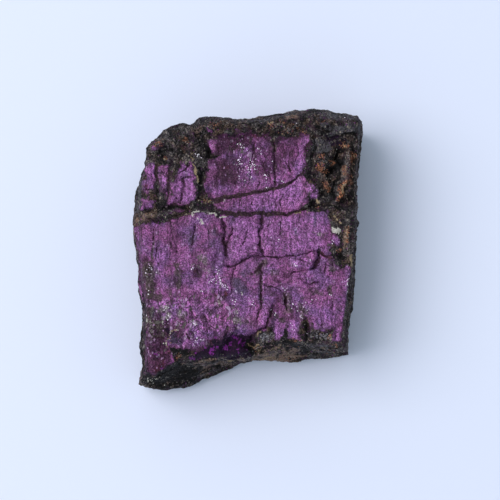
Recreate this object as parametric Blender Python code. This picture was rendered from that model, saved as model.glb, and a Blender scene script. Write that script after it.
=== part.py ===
"""A slab of purpurite: a broken plate of stone with one flat purple face, in a dark rind.

Metres, +Z up. The purple face looks up, +Y runs along the slab's length, and the origin is under the
middle of the slab, at the height of the flat spot that it rests on. The plan below is drawn in
millimetres and made metres at the very end.

The stone is one block. Its plan is drawn twice, at the brow where the face breaks away and at the foot,
and the walls run from the one to the other. What shows from a step away is then pressed into the block:
the raised rim, the sunk panels, the veins and cracks, the pits of the dark corner, the hollow and the
sloping fracture at the lower end, the beds of the walls and the uneven underside.
"""

import bpy
import bmesh
import numpy as np
from mathutils import Vector, noise

NAME = "purpurite_slab"
MM = 0.001

# Driving sizes, in millimetres
FACE_HEIGHT = 7.2
PLAN_MIDDLE = (-0.03, -0.43)
BLOCK_STEPS = (120, 140, 36)
KEPT_SHARE = 0.088
SHARP_ANGLE = 0.6

# The flat spot that the slab rests on: middle, half width, half length, and the ledge round it
SPOT_MIDDLE = (0.2, -0.6)
SPOT_HALF = (4.6, 5.2)
SPOT_LEDGE = 0.1

# Plan of the brow, where the face breaks away, one side at a time
BROW_TOP = (
    (-9.0, 8.35), (-8.55, 9.0), (-8.0, 9.4), (-7.5, 10.05), (-6.6, 10.45), (-5.8, 10.65), (-5.2, 10.55),
    (-4.8, 10.7), (-4.3, 11.1), (-3.5, 11.2), (-1.5, 10.95), (-0.4, 10.85), (0.6, 10.8), (1.7, 10.9),
    (2.8, 11.2), (3.9, 11.45), (5.0, 11.65), (6.0, 11.7), (7.1, 11.6), (8.1, 11.35), (9.1, 11.25),
    (9.7, 11.1), (10.05, 10.65),
)
BROW_RIGHT = (
    (8.0, -9.3), (8.1, -8.0), (8.25, -7.0), (8.4, -6.2), (8.5, -5.3), (8.7, -4.1), (8.9, -3.2),
    (9.05, -2.2), (9.1, -1.2), (9.25, 0.3), (9.3, 1.5), (9.35, 3.0), (9.4, 4.5), (9.55, 6.0),
    (9.7, 7.0), (9.85, 8.0), (9.95, 9.0), (10.05, 10.0), (10.05, 10.65),
)
BROW_BOTTOM = (
    (-9.35, -11.6), (-8.4, -11.75), (-7.4, -11.2), (-6.5, -10.6), (-5.5, -10.4), (-4.5, -10.15),
    (-3.5, -10.2), (-2.5, -10.2), (-1.5, -10.1), (-0.5, -10.0), (0.3, -9.7), (1.0, -9.45), (2.0, -9.35),
    (3.0, -9.25), (4.8, -9.3), (6.0, -9.3), (7.2, -9.35), (8.0, -9.3),
)
BROW_LEFT = (
    (-9.35, -11.6), (-9.2, -10.6), (-9.25, -8.7), (-9.2, -7.0), (-9.1, -5.5), (-9.25, -4.6), (-9.55, -3.2),
    (-9.6, -1.2), (-9.65, 0.3), (-9.75, 1.5), (-9.75, 2.6), (-9.6, 4.0), (-9.5, 4.8), (-9.4, 5.8),
    (-9.2, 6.5), (-9.05, 7.2), (-9.0, 8.35),
)

# Plan of the foot, where the walls turn under
FOOT_TOP = (
    (-8.95, 8.5), (-7.4, 9.5), (-6.3, 10.0), (-5.2, 10.1), (-4.2, 10.5), (-3.0, 10.8), (-1.5, 10.6),
    (0.0, 10.6), (1.5, 10.7), (3.0, 11.0), (4.8, 11.4), (6.5, 11.4), (8.0, 11.2), (9.2, 11.1),
    (10.3, 10.9),
)
FOOT_RIGHT = (
    (8.8, -9.75), (8.8, -8.6), (8.85, -7.5), (9.08, -6.4), (9.18, -5.4), (9.3, -4.3), (9.42, -3.2),
    (9.5, -2.1), (9.55, -1.0), (9.58, 0.1), (9.65, 1.2), (9.8, 2.3), (9.8, 3.4), (9.68, 4.6),
    (9.8, 5.7), (10.0, 6.8), (10.17, 7.9), (10.35, 9.0), (10.4, 9.9), (10.3, 10.9),
)
FOOT_BOTTOM = (
    (-10.0, -12.0), (-9.3, -12.25), (-8.4, -12.5), (-7.8, -12.68), (-6.5, -12.55), (-5.7, -12.45),
    (-5.0, -12.2), (-4.1, -11.65), (-3.0, -11.2), (-1.9, -10.75), (-0.8, -10.4), (0.3, -10.12),
    (1.4, -10.1), (2.5, -10.25), (3.5, -10.3), (4.6, -10.1), (5.7, -10.12), (7.9, -9.97), (8.8, -9.75),
)
FOOT_LEFT = (
    (-10.0, -12.0), (-9.75, -10.9), (-9.45, -9.8), (-9.45, -8.7), (-9.4, -7.0), (-9.25, -5.5),
    (-9.4, -4.5), (-9.75, -3.3), (-9.9, -1.2), (-9.95, 0.0), (-10.05, 1.3), (-10.1, 2.3),
    (-9.9, 3.5), (-9.75, 4.6), (-9.65, 5.7), (-9.3, 7.0), (-8.95, 8.5),
)

# Sunk and raised parts of the face: height, softness of the edge, then the corners
PANELS = {
    "upper panel under the rim": (-0.22, 0.25, (
        (-3.6, 9.2), (-1.0, 9.2), (1.0, 9.4), (2.4, 9.5), (3.8, 9.5), (5.2, 9.2), (5.35, 8.0),
        (5.1, 6.7), (4.7, 5.9), (3.0, 4.9), (0.7, 4.3), (-2.2, 3.85), (-3.6, 3.7),
    )),
    "strip between the veins": (-0.08, 0.2, (
        (-3.4, 3.2), (-0.8, 3.8), (1.8, 4.5), (4.2, 5.2), (5.0, 5.5), (5.2, 4.6), (4.2, 2.7),
        (1.8, 2.4), (-1.5, 2.4),
    )),
    "dark corner": (-0.45, 0.35, (
        (5.7, 9.0), (7.5, 8.9), (9.6, 9.0), (9.5, 7.5), (9.2, 5.5), (9.1, 3.6), (8.7, 2.7),
        (6.9, 3.1), (6.2, 3.5), (6.2, 4.5), (5.4, 5.8), (5.7, 7.6),
    )),
    "dark hollow at the lower end": (-1.15, 0.9, (
        (-3.0, -10.9), (-2.6, -9.4), (-2.1, -8.6), (-1.0, -8.2), (0.15, -8.2), (0.35, -9.2),
        (0.5, -10.9),
    )),
    "step beside the hollow": (-0.4, 0.3, (
        (0.15, -8.2), (0.9, -7.9), (1.5, -7.7), (2.1, -8.1), (2.1, -8.8), (1.7, -9.6), (0.2, -9.9),
    )),
    "plum slope": (-0.75, 1.1, (
        (-10.2, -13.0), (-10.2, -9.0), (-8.5, -9.4), (-7.0, -9.3), (-5.6, -9.4), (-3.8, -9.3),
        (-2.6, -9.3), (-2.0, -11.5), (-6.5, -12.0), (-8.0, -13.5),
    )),
    "lower right fringe": (-0.35, 0.25, (
        (4.9, -8.6), (5.6, -8.2), (6.4, -8.3), (7.0, -8.5), (7.1, -9.8), (4.9, -9.8),
    )),
    "sunk patch in the lower middle": (-0.2, 0.4, (
        (1.8, -5.8), (2.8, -5.0), (3.8, -5.4), (4.4, -6.8), (4.3, -8.2), (2.6, -8.3), (1.8, -7.2),
    )),
    "middle left block": (0.1, 0.2, (
        (-4.7, 1.4), (-2.4, 1.8), (-2.2, -0.4), (-3.4, -1.9), (-4.7, -1.0),
    )),
    "middle block": (0.1, 0.2, (
        (-1.5, 1.8), (0.8, 1.8), (0.7, -1.3), (-0.8, -1.9), (-1.7, -2.1),
    )),
    "sunk field at the left": (-0.16, 0.5, (
        (-9.6, -1.8), (-8.3, -1.8), (-8.2, -3.4), (-6.9, -3.6), (-6.9, -5.2), (-8.6, -5.6),
        (-9.4, -5.2),
    )),
}

# Veins and cracks: depth, half width, then the points they follow
GROOVES = {
    "main vein, upper strand": (0.45, 0.42, (
        (-9.9, 2.4), (-8.6, 2.5), (-7.6, 2.7), (-6.6, 2.95), (-5.4, 2.85), (-4.2, 2.75),
        (-3.2, 2.7), (-2.2, 2.35), (-1.2, 2.2), (0.4, 2.2), (2.0, 2.2), (3.4, 2.1), (4.6, 2.5),
        (5.6, 2.9), (6.6, 3.0),
    )),
    "main vein, lower strand": (0.32, 0.4, (
        (-10.0, 1.9), (-8.6, 1.75), (-7.4, 1.85), (-6.2, 2.2), (-5.0, 2.5),
    )),
    "second vein": (0.34, 0.34, (
        (-3.6, 3.3), (-2.2, 3.65), (-0.8, 3.85), (0.7, 4.15), (1.8, 4.45), (3.0, 4.75),
        (4.1, 5.2), (4.9, 5.9), (5.25, 6.8), (5.4, 8.0), (5.6, 9.0),
    )),
    "dark band between the upper panels": (0.5, 0.6, (
        (-4.1, 3.2), (-4.1, 5.0), (-3.95, 6.6), (-3.75, 8.0), (-4.0, 9.2),
    )),
    "crack down the upper panel": (0.22, 0.26, ((2.35, 9.5), (2.3, 8.0), (2.35, 6.5), (2.3, 4.9))),
    "fine crack down the upper panel": (0.14, 0.22, ((0.6, 8.9), (0.4, 7.2), (0.05, 5.6), (-0.1, 4.4))),
    "crack down the middle": (0.26, 0.28, (
        (1.05, 2.1), (1.0, 1.0), (0.85, 0.2), (0.9, -0.6), (1.15, -1.6), (1.0, -2.4), (0.95, -4.0),
        (0.95, -5.4), (0.8, -6.4), (0.6, -7.6),
    )),
    "crack across the middle": (0.24, 0.26, (
        (-1.7, -2.3), (-0.8, -2.0), (0.2, -1.6), (1.2, -1.6), (2.8, -1.7), (4.2, -1.65),
        (5.6, -1.3), (6.0, -1.5), (7.4, -1.7),
    )),
    "notch at the right": (0.42, 0.34, ((6.0, -1.2), (5.8, -2.0), (5.5, -2.6), (4.2, -3.0))),
    "crack left of the middle block": (0.24, 0.26, (
        (-2.3, 2.0), (-2.25, 1.0), (-2.1, 0.0), (-2.0, -1.6),
    )),
    "crack beside it": (0.2, 0.22, ((-1.55, 1.6), (-1.7, 0.4), (-1.95, -0.6), (-2.05, -1.6))),
    "left crack": (0.2, 0.28, ((-6.9, 1.7), (-6.75, 0.6), (-6.4, -0.4), (-6.3, -2.2), (-6.3, -3.8))),
    "crack down the left middle": (0.2, 0.26, ((-4.7, 1.6), (-4.85, 0.2), (-4.95, -1.4))),
    "left edge furrow": (0.2, 0.4, ((-8.3, 1.4), (-8.4, -0.4), (-8.6, -1.6))),
    "furrow in the upper left": (0.3, 0.34, ((-8.2, 7.0), (-8.15, 5.6), (-8.0, 4.2), (-7.8, 3.1))),
    "second furrow in the upper left": (0.26, 0.3, ((-6.75, 7.1), (-6.9, 5.8), (-7.1, 4.4), (-7.2, 3.6))),
    "crack in the upper left panel": (0.16, 0.2, ((-5.75, 5.2), (-5.85, 4.2), (-5.95, 3.3))),
    "short crack low in the middle": (0.3, 0.26, ((1.8, -6.0), (1.65, -7.0), (1.2, -7.95), (0.2, -8.2))),
    "back of the dark hollow": (0.6, 0.4, ((0.2, -8.4), (0.1, -9.2), (0.25, -10.1))),
    "black crack at the lower edge": (0.6, 0.3, ((4.85, -7.3), (4.9, -8.3), (4.8, -9.4))),
    "small crack under the notch": (0.16, 0.24, ((4.2, -3.2), (4.4, -3.9), (5.2, -4.1), (6.4, -3.9))),
    "crease below the white crust": (0.2, 0.26, ((-1.3, -2.3), (-1.5, -3.6), (-1.75, -4.8))),
    "shallow vein in the lower middle": (0.16, 0.32, ((1.2, -2.4), (0.4, -2.8), (-0.6, -3.4))),
    "scar down the right of the middle": (0.16, 0.28, ((2.2, -3.0), (2.1, -4.4), (3.0, -5.4))),
}

# Raised lips: height, half width, then the points they follow
RIDGES = {
    "rim": (0.5, 1.1, (
        (-3.8, 10.2), (-2.0, 10.0), (0.0, 9.9), (2.2, 10.2), (4.5, 10.5), (6.8, 10.5), (9.3, 10.2),
    )),
    "rim at the right": (0.3, 0.7, ((9.5, 9.4), (9.2, 7.6), (9.0, 5.8), (8.9, 4.2))),
    "shelf over the dark corner": (0.2, 0.4, ((6.2, 9.4), (7.6, 9.3), (8.6, 9.3), (9.7, 9.5))),
    "upper left rim": (0.25, 0.8, ((-8.4, 7.9), (-7.2, 8.8), (-5.8, 9.4), (-4.8, 9.5))),
    "knob in the dark corner": (0.4, 0.6, ((6.5, 7.2), (7.0, 6.8))),
    "spur in the dark corner": (0.4, 0.5, ((8.3, 5.0), (8.6, 6.6), (8.7, 8.0))),
    "lower spur in the dark corner": (0.3, 0.5, ((6.6, 4.2), (7.1, 5.1))),
    "bead along the right edge": (0.18, 0.4, ((8.7, 1.0), (8.8, -0.6), (8.7, -2.4))),
}

# Pits: middle, radius and depth
PITS = (
    (7.85, 7.35, 0.5, 0.75), (8.1, 6.6, 0.3, 0.4), (7.6, 6.1, 0.4, 0.7), (7.0, 5.9, 0.4, 0.5),
    (7.4, 4.3, 0.35, 0.5), (5.7, 3.2, 0.5, 0.4), (8.6, 3.4, 0.5, 0.35), (-3.6, 7.7, 0.4, 0.45),
    (-3.1, 7.1, 0.3, 0.3), (-5.6, 8.6, 0.5, 0.3), (-7.4, 7.9, 0.5, 0.25), (0.05, -9.3, 0.45, 1.1),
    (8.2, -1.6, 0.45, 0.4), (7.1, -4.8, 0.35, 0.2), (-4.6, -3.2, 0.5, 0.18), (-8.5, -2.6, 0.4, 0.25),
    (-6.3, -10.3, 0.45, 0.4), (-5.2, -10.6, 0.5, 0.45), (3.1, -5.5, 0.3, 0.3), (5.6, -5.3, 0.4, 0.2),
)


def smooth(low: float, high: float, value: np.ndarray) -> np.ndarray:
    """Runs from 0 at low to 1 at high with no corner."""
    share = np.clip((value - low) / (high - low), 0.0, 1.0)
    return share * share * (3.0 - 2.0 * share)


def path_distance(x: np.ndarray, y: np.ndarray, points: tuple) -> np.ndarray:
    """Distance in plan to an open path."""
    nearest = np.full(x.shape, np.inf)
    for (start_x, start_y), (end_x, end_y) in zip(points, points[1:]):
        run_x, run_y = end_x - start_x, end_y - start_y
        along = (x - start_x) * run_x + (y - start_y) * run_y
        along = np.clip(along / (run_x**2 + run_y**2), 0.0, 1.0)
        gap = np.hypot(x - start_x - along * run_x, y - start_y - along * run_y)
        nearest = np.minimum(nearest, gap)
    return nearest


def depth_inside(x: np.ndarray, y: np.ndarray, corners: tuple) -> np.ndarray:
    """Distance in plan to a closed outline, positive inside it."""
    inside = np.zeros(x.shape, bool)
    closed = corners + corners[:1]
    for (start_x, start_y), (end_x, end_y) in zip(closed, closed[1:]):
        if start_y == end_y:
            continue
        crossing = start_x + (y - start_y) * (end_x - start_x) / (end_y - start_y)
        inside ^= ((start_y > y) != (end_y > y)) & (x < crossing)
    distance = path_distance(x, y, closed)
    return np.where(inside, distance, -distance)


def rough(x: np.ndarray, y: np.ndarray, z: np.ndarray, wave: float, seed: float) -> np.ndarray:
    """Smooth noise between about -1 and 1 with the given wave length, in millimetres."""
    places = np.stack((x, y, z), axis=1) / wave + seed
    return np.array([noise.fractal(Vector(place), 0.9, 2.0, 3) for place in places])


def along_side(points: tuple, share: np.ndarray) -> np.ndarray:
    """Places on one side of the plan, by their share of its length."""
    corners = np.array(points)
    lengths = np.hypot(*np.diff(corners, axis=0).T)
    stations = np.concatenate(([0.0], np.cumsum(lengths))) / lengths.sum()
    return np.stack([np.interp(share, stations, corners[:, axis]) for axis in (0, 1)], axis=1)


def plan_patch(u: np.ndarray, v: np.ndarray, sides: tuple) -> np.ndarray:
    """Stretches the unit square over a plan of four sides: bottom, top, left and right."""
    bottom, top, left, right = sides
    u_column, v_column = u[:, None], v[:, None]
    across = (1 - v_column) * along_side(bottom, u) + v_column * along_side(top, u)
    upward = (1 - u_column) * along_side(left, v) + u_column * along_side(right, v)
    corners = (
        (1 - u_column) * (1 - v_column) * np.array(bottom[0])
        + u_column * (1 - v_column) * np.array(bottom[-1])
        + (1 - u_column) * v_column * np.array(top[0])
        + u_column * v_column * np.array(top[-1])
    )
    return across + upward - corners


def face_relief(x: np.ndarray, y: np.ndarray) -> np.ndarray:
    """Height of the upper face above or below its mean plane."""
    level = np.zeros_like(x)
    warp_x = x + 0.16 * rough(x, y, level, 1.4, 3.1)
    warp_y = y + 0.16 * rough(x, y, level, 1.4, 8.7)
    height = 0.12 * rough(x, y, level, 5.5, 1.9)
    for rise, softness, corners in PANELS.values():
        height += rise * smooth(-softness / 2, softness / 2, depth_inside(warp_x, warp_y, corners))
    for rise, half_width, points in RIDGES.values():
        height += rise * (1 - smooth(0.0, half_width, path_distance(warp_x, warp_y, points)))
    for depth, half_width, points in GROOVES.values():
        height -= depth * (1 - smooth(0.0, half_width, path_distance(warp_x, warp_y, points)))
    for middle_x, middle_y, radius, depth in PITS:
        gap = np.hypot(warp_x - middle_x, warp_y - middle_y)
        height -= depth * (1 - smooth(0.0, radius * 1.4, gap))
    return height + 0.13 * rind_share(warp_x, warp_y) * rough(x, y, level, 0.9, 5.3)


def rind_share(x: np.ndarray, y: np.ndarray) -> np.ndarray:
    """How much of the rough dark rind there is at a place on the face: 0 on clean cleavage, 1 on rind."""
    top = smooth(9.0, 9.6, y)
    upper_left = smooth(7.1, 7.6, y) * smooth(3.6, 4.2, -x)
    corner = smooth(5.2, 5.8, x) * smooth(2.6, 3.2, y)
    right = smooth(7.6, 8.4, x + 0.25 * y) * smooth(-3.0, -2.0, y)
    lower = smooth(9.2, 9.8, -y)
    return np.maximum.reduce([top, upper_left, corner, right, lower])


def brow_radius(x: np.ndarray, y: np.ndarray) -> np.ndarray:
    """How far the face is rounded over at its edge: sharp at the lower right, soft at the top."""
    top = 0.75 * smooth(6.5, 9.5, y)
    left = 0.25 * smooth(7.0, 9.0, -x)
    lower_left = 0.55 * smooth(7.5, 10.0, -y) * smooth(-1.0, 1.5, -x)
    return 0.22 + np.maximum.reduce([top, left, lower_left])


def underside(x: np.ndarray, y: np.ndarray) -> np.ndarray:
    """Height of the underside: 0 on the flat spot, uneven and a little higher round it."""
    level = np.zeros_like(x)
    reach = np.hypot((x - SPOT_MIDDLE[0]) / SPOT_HALF[0], (y - SPOT_MIDDLE[1]) / SPOT_HALF[1])
    reach += 0.32 * rough(x, y, level, 4.5, 12.4) + 0.08 * rough(x, y, level, 1.2, 9.4)
    away = smooth(1.0, 1.3, reach)
    ledges = 0.22 * smooth(-0.12, 0.12, rough(0.5 * x, y, level, 4.0, 20.2))
    uneven = 0.14 * (1 + rough(x, y, level, 2.0, 16.6))
    return away * (SPOT_LEDGE + ledges + uneven + 0.12 * np.clip(reach - 1.0, 0.0, 1.2))


def wall_relief(x: np.ndarray, y: np.ndarray, z: np.ndarray) -> np.ndarray:
    """How far the walls stand out or in: broken faces, and ledges where one bed outlasts the next."""
    bedding = rough(0.22 * x, 0.22 * y, z, 1.5, 30.5)
    ledges = 0.2 * smooth(-0.12, 0.12, bedding) + 0.16 * smooth(0.25, 0.45, bedding)
    facets = 0.42 * rough(x, y, 1.3 * z, 5.0, 34.8)
    chips = 0.14 * np.abs(rough(x, y, 1.5 * z, 1.7, 41.2))
    return ledges + facets - chips - 0.12


def wall_bulge(x: np.ndarray, y: np.ndarray) -> np.ndarray:
    """How far the walls swell halfway up: at the left and at the upper right corner, hardly elsewhere."""
    left = smooth(6.0, 9.5, -x)
    top = smooth(7.0, 10.0, y)
    right_corner = top * smooth(6.5, 9.0, x)
    return 0.32 * left - 0.12 * top + 0.42 * right_corner


def blank() -> bpy.types.Object:
    """A unit cube cut into a fine net along each axis."""
    net = bmesh.new()
    bmesh.ops.create_cube(net, size=1.0)
    for axis, steps in enumerate(BLOCK_STEPS):
        edges = [edge for edge in net.edges if abs((edge.verts[0].co - edge.verts[1].co)[axis]) > 0.5]
        bmesh.ops.subdivide_edges(net, edges=edges, cuts=steps - 1, use_grid_fill=True)
    mesh = bpy.data.meshes.new(NAME)
    net.to_mesh(mesh)
    net.free()
    return bpy.data.objects.new(NAME, mesh)


def shape_stone(block: bpy.types.Object) -> None:
    """Moves each point of the block to its place on the stone."""
    places = np.empty(len(block.data.vertices) * 3)
    block.data.vertices.foreach_get("co", places)
    u, v, rise = np.clip(places.reshape(-1, 3).T + 0.5, 0.0, 1.0)

    brow = plan_patch(u, v, (BROW_BOTTOM, BROW_TOP, BROW_LEFT, BROW_RIGHT))
    foot = plan_patch(u, v, (FOOT_BOTTOM, FOOT_TOP, FOOT_LEFT, FOOT_RIGHT))
    outline = BROW_BOTTOM[:-1] + BROW_RIGHT[:-1] + BROW_TOP[:0:-1] + BROW_LEFT[:0:-1]
    foot_outline = FOOT_BOTTOM[:-1] + FOOT_RIGHT[:-1] + FOOT_TOP[:0:-1] + FOOT_LEFT[:0:-1]

    radius = brow_radius(*brow.T)
    inward = np.clip(depth_inside(*brow.T, outline), 0.0, radius) / radius
    rounding = radius * (1 - np.sqrt(1 - (1 - inward) ** 2))
    upper = FACE_HEIGHT + face_relief(*brow.T) - rounding

    foot_inward = np.clip(depth_inside(*foot.T, foot_outline), 0.0, 0.5) / 0.5
    lower = underside(*foot.T) + 0.4 * (1 - np.sqrt(1 - (1 - foot_inward) ** 2))

    height = lower + (upper - lower) * rise
    plan = foot + (brow - foot) * rise[:, None]
    middle_of_wall = 4 * rise * (1 - rise)
    outward = plan / np.hypot(*plan.T)[:, None].clip(1.0)
    push = wall_bulge(*plan.T) * middle_of_wall
    push += wall_relief(*plan.T, height) * smooth(0.0, 0.35, middle_of_wall)
    plan += outward * push[:, None]

    places = np.stack((plan[:, 0] - PLAN_MIDDLE[0], plan[:, 1] - PLAN_MIDDLE[1], height), axis=1)
    block.data.vertices.foreach_set("co", places.ravel())


def thin_out(stone: bpy.types.Object) -> None:
    """Keeps points only where the surface bends, and sets the flat spot exactly level."""
    thinner = stone.modifiers.new("fewer faces", "DECIMATE")
    thinner.ratio = KEPT_SHARE
    thinner.use_collapse_triangulate = True
    evaluated = stone.evaluated_get(bpy.context.evaluated_depsgraph_get())
    thinned = bpy.data.meshes.new_from_object(evaluated)
    thinned.name = NAME
    stone.modifiers.clear()
    stone.data = thinned
    for vertex in thinned.vertices:
        if vertex.co.z < 0.02:
            vertex.co.z = 0.0
    thinned.transform(((MM, 0, 0, 0), (0, MM, 0, 0), (0, 0, MM, 0), (0, 0, 0, 1)))
    thinned.shade_smooth()
    thinned.set_sharp_from_angle(angle=SHARP_ANGLE)


def purple_stone() -> bpy.types.Material:
    """Satin purple, as the cleavage face shows it."""
    material = bpy.data.materials.new("purpurite")
    material.use_nodes = True
    shader = material.node_tree.nodes["Principled BSDF"]
    shader.inputs["Base Color"].default_value = (0.17, 0.06, 0.16, 1.0)
    shader.inputs["Roughness"].default_value = 0.55
    shader.inputs["Metallic"].default_value = 0.0
    return material


def main() -> None:
    for item in list(bpy.data.objects):
        bpy.data.objects.remove(item)
    parts = bpy.data.collections.new("purpurite")
    bpy.context.scene.collection.children.link(parts)
    stone = blank()
    parts.objects.link(stone)
    shape_stone(stone)
    thin_out(stone)
    stone.data.materials.append(purple_stone())


main()
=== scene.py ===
"""The looks of a slab of purpurite: a satin purple cleavage face, dark veins, and a rough dark rind.

Lengths are in millimetres on the plan of the slab, with X to the right, Y along the slab and Z up. Each mesh
is scaled to metres and set on the frame's origin at the end. The stone is one fine net. Its plan, panels,
veins and pits are the ones of the solid, and hairline cracks, cleavage plates, grains and bedding are added
to them. What only shows as colour is drawn with lines and areas too, and goes to the finish as shares, one
number a point, which the finish mixes with its own fine patterns. A path is one flat row of numbers, with
each place across and then along the slab.
"""

import itertools
import logging
from dataclasses import dataclass, field
from enum import Enum

import bpy
import numpy as np
from mathutils import Matrix, Vector, noise


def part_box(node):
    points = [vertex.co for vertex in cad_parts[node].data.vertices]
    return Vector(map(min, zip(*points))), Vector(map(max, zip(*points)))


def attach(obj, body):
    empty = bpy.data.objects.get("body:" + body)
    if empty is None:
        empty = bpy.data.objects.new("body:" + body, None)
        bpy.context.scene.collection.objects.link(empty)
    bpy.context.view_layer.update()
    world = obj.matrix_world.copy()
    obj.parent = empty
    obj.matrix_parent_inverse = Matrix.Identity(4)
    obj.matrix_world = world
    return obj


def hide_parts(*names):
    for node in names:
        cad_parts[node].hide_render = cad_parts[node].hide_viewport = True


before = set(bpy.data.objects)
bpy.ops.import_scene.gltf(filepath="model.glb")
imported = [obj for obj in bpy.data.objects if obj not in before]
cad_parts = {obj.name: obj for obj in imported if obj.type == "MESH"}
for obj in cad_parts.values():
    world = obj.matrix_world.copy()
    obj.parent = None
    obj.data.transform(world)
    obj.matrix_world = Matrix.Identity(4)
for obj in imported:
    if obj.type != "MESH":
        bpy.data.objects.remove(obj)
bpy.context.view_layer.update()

LOG = logging.getLogger("purpurite")
NODE = "purpurite_slab"
BODY = "root"

Point = tuple[float, float]
Path = tuple[float, ...]
Triple = tuple[float, float, float]
Colour = Triple
Field = np.ndarray
Socket = bpy.types.NodeSocket
Mesh = bpy.types.Mesh
Piece = bpy.types.Object

MM = 0.001
FACE_HEIGHT = 7.2
PLAN_MIDDLE = (-0.03, -0.43)


def smooth(low: float, high: float, value: Field) -> Field:
    """Runs from 0 at low to 1 at high with no corner.

    Args:
        low: Where the run starts.
        high: Where the run ends.
        value: The numbers to place on the run.

    Returns:
        The share of the run that each number has covered.
    """
    share = np.clip((value - low) / (high - low), 0.0, 1.0)
    return share * share * (3.0 - 2.0 * share)


def corners_of(path: Path) -> list[Point]:
    """Splits a flat row of numbers into places on the plan."""
    return list(zip(path[::2], path[1::2]))


def path_distance(x: Field, y: Field, path: Path) -> Field:
    """Measures the distance in plan to an open path, or to a single point.

    Args:
        x: Across the slab.
        y: Along the slab.
        path: What to measure to.

    Returns:
        The distance from each place to the nearest part of the path.
    """
    corners = corners_of(path)
    nearest = np.hypot(x - corners[0][0], y - corners[0][1])
    for (start_x, start_y), (end_x, end_y) in zip(corners, corners[1:]):
        run_x, run_y = end_x - start_x, end_y - start_y
        along = (x - start_x) * run_x + (y - start_y) * run_y
        along = np.clip(along / (run_x**2 + run_y**2), 0.0, 1.0)
        gap = np.hypot(x - start_x - along * run_x, y - start_y - along * run_y)
        nearest = np.minimum(nearest, gap)
    return nearest


def depth_inside(x: Field, y: Field, outline: Path) -> Field:
    """Measures the distance in plan to a closed outline, positive inside it.

    Args:
        x: Across the slab.
        y: Along the slab.
        outline: What to measure to.

    Returns:
        The distance of each place from the outline.
    """
    inside = np.zeros(x.shape, bool)
    closed = outline + outline[:2]
    corners = corners_of(closed)
    for (start_x, start_y), (end_x, end_y) in zip(corners, corners[1:]):
        if start_y == end_y:
            continue
        crossing = start_x + (y - start_y) * (end_x - start_x) / (end_y - start_y)
        inside ^= ((start_y > y) != (end_y > y)) & (x < crossing)
    distance = path_distance(x, y, closed)
    return np.where(inside, distance, -distance)


def rough(x: Field, y: Field, z: Field, wave: float, seed: float) -> Field:
    """Gives the solid's own smooth noise, between about -1 and 1.

    Args:
        x: Across the slab.
        y: Along the slab.
        z: Heights.
        wave: The wave length.
        seed: Where in the noise the slab lies.

    Returns:
        The noise at each place.
    """
    places = np.stack((x, y, z), axis=1) / wave + seed
    return np.array([noise.fractal(Vector(place), 0.9, 2.0, 3) for place in places])


def hashed(cells: Field, seed: int) -> Field:
    """Gives each whole-number cell a number between 0 and 1 that is the same on every run.

    Args:
        cells: Whole numbers, one row for each cell.
        seed: Which of many sets of numbers to give.

    Returns:
        One number for each cell.
    """
    mixed = (cells @ np.array((73856093, 19349663, 83492791)) + seed * 15485863) & 0xFFFFFFFF
    mixed = ((mixed ^ (mixed >> 15)) * 2246822519) & 0xFFFFFFFF
    mixed = ((mixed ^ (mixed >> 13)) * 3266489917) & 0xFFFFFFFF
    return ((mixed ^ (mixed >> 16)) & 0xFFFF) / 65535.0


def grain(places: Field, waves: float | Triple, seed: int, octaves: int = 2) -> Field:
    """Gives quick fine noise between about -1 and 1.

    Args:
        places: Points, one row each.
        waves: The wave length in millimetres, one for all or one for each axis.
        seed: Which of many patterns to give.
        octaves: How many layers, each half as coarse and half as strong as the one before.

    Returns:
        The noise at each place.
    """
    total = np.zeros(len(places))
    for octave in range(octaves):
        scaled = places / np.array(waves) * 2.0**octave + 0.37 * octave
        corner = np.floor(scaled).astype(np.int64)
        share = scaled - corner
        share = share * share * (3.0 - 2.0 * share)
        layer = np.zeros(len(places))
        for step in itertools.product((0, 1), repeat=3):
            weight = np.prod(np.where(np.array(step, bool), share, 1.0 - share), axis=1)
            layer += weight * hashed(corner + np.array(step), seed + 7 * octave)
        total += (2.0 * layer - 1.0) * 0.5**octave
    return total


@dataclass(frozen=True)
class Line:
    """A line on the face.

    Args:
        size: How deep, how high or how strong it is.
        half_width: From its middle to where it has faded out.
        path: What it follows; a single place makes a round dab.
    """

    size: float
    half_width: float
    path: Path

    def share(self, x: Field, y: Field) -> Field:
        """Gives 1 on the line and 0 from its half width on."""
        return 1.0 - smooth(0.0, self.half_width, path_distance(x, y, self.path))


def strokes(size: float, half_width: float, *paths: Path) -> tuple[Line, ...]:
    """Draws several lines of one size and width.

    Args:
        size: How deep, how high or how strong they are.
        half_width: From their middle to where they have faded out.
        paths: What each of them follows.

    Returns:
        The lines.
    """
    return tuple(Line(size, half_width, path) for path in paths)


@dataclass(frozen=True)
class Area:
    """A part of the face inside an outline.

    Args:
        size: How deep, how high or how strong it is.
        softness: How wide its edge is.
        outline: Where it ends.
    """

    size: float
    softness: float
    outline: Path

    def share(self, x: Field, y: Field) -> Field:
        """Gives 1 inside the area and 0 outside it."""
        return smooth(-self.softness / 2, self.softness / 2, depth_inside(x, y, self.outline))


class Tint(Enum):
    """What the stone shows beside plain purple and plain rind, each with a share and a table of its own."""

    LILAC = "lilac"
    PLUM = "plum"
    BLUE = "blue"
    OLIVE = "olive"
    CRIMSON = "crimson"
    VIOLET = "violet"
    BLOOM = "bloom"
    FILM = "film"
    RUST = "rust"
    BLACK = "black"
    PALE = "pale"
    TAN = "tan"
    EARTH = "earth"
    SLATE = "slate"
    CRUMBLY = "crumbly"
    SPARKLE = "sparkle"


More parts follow.
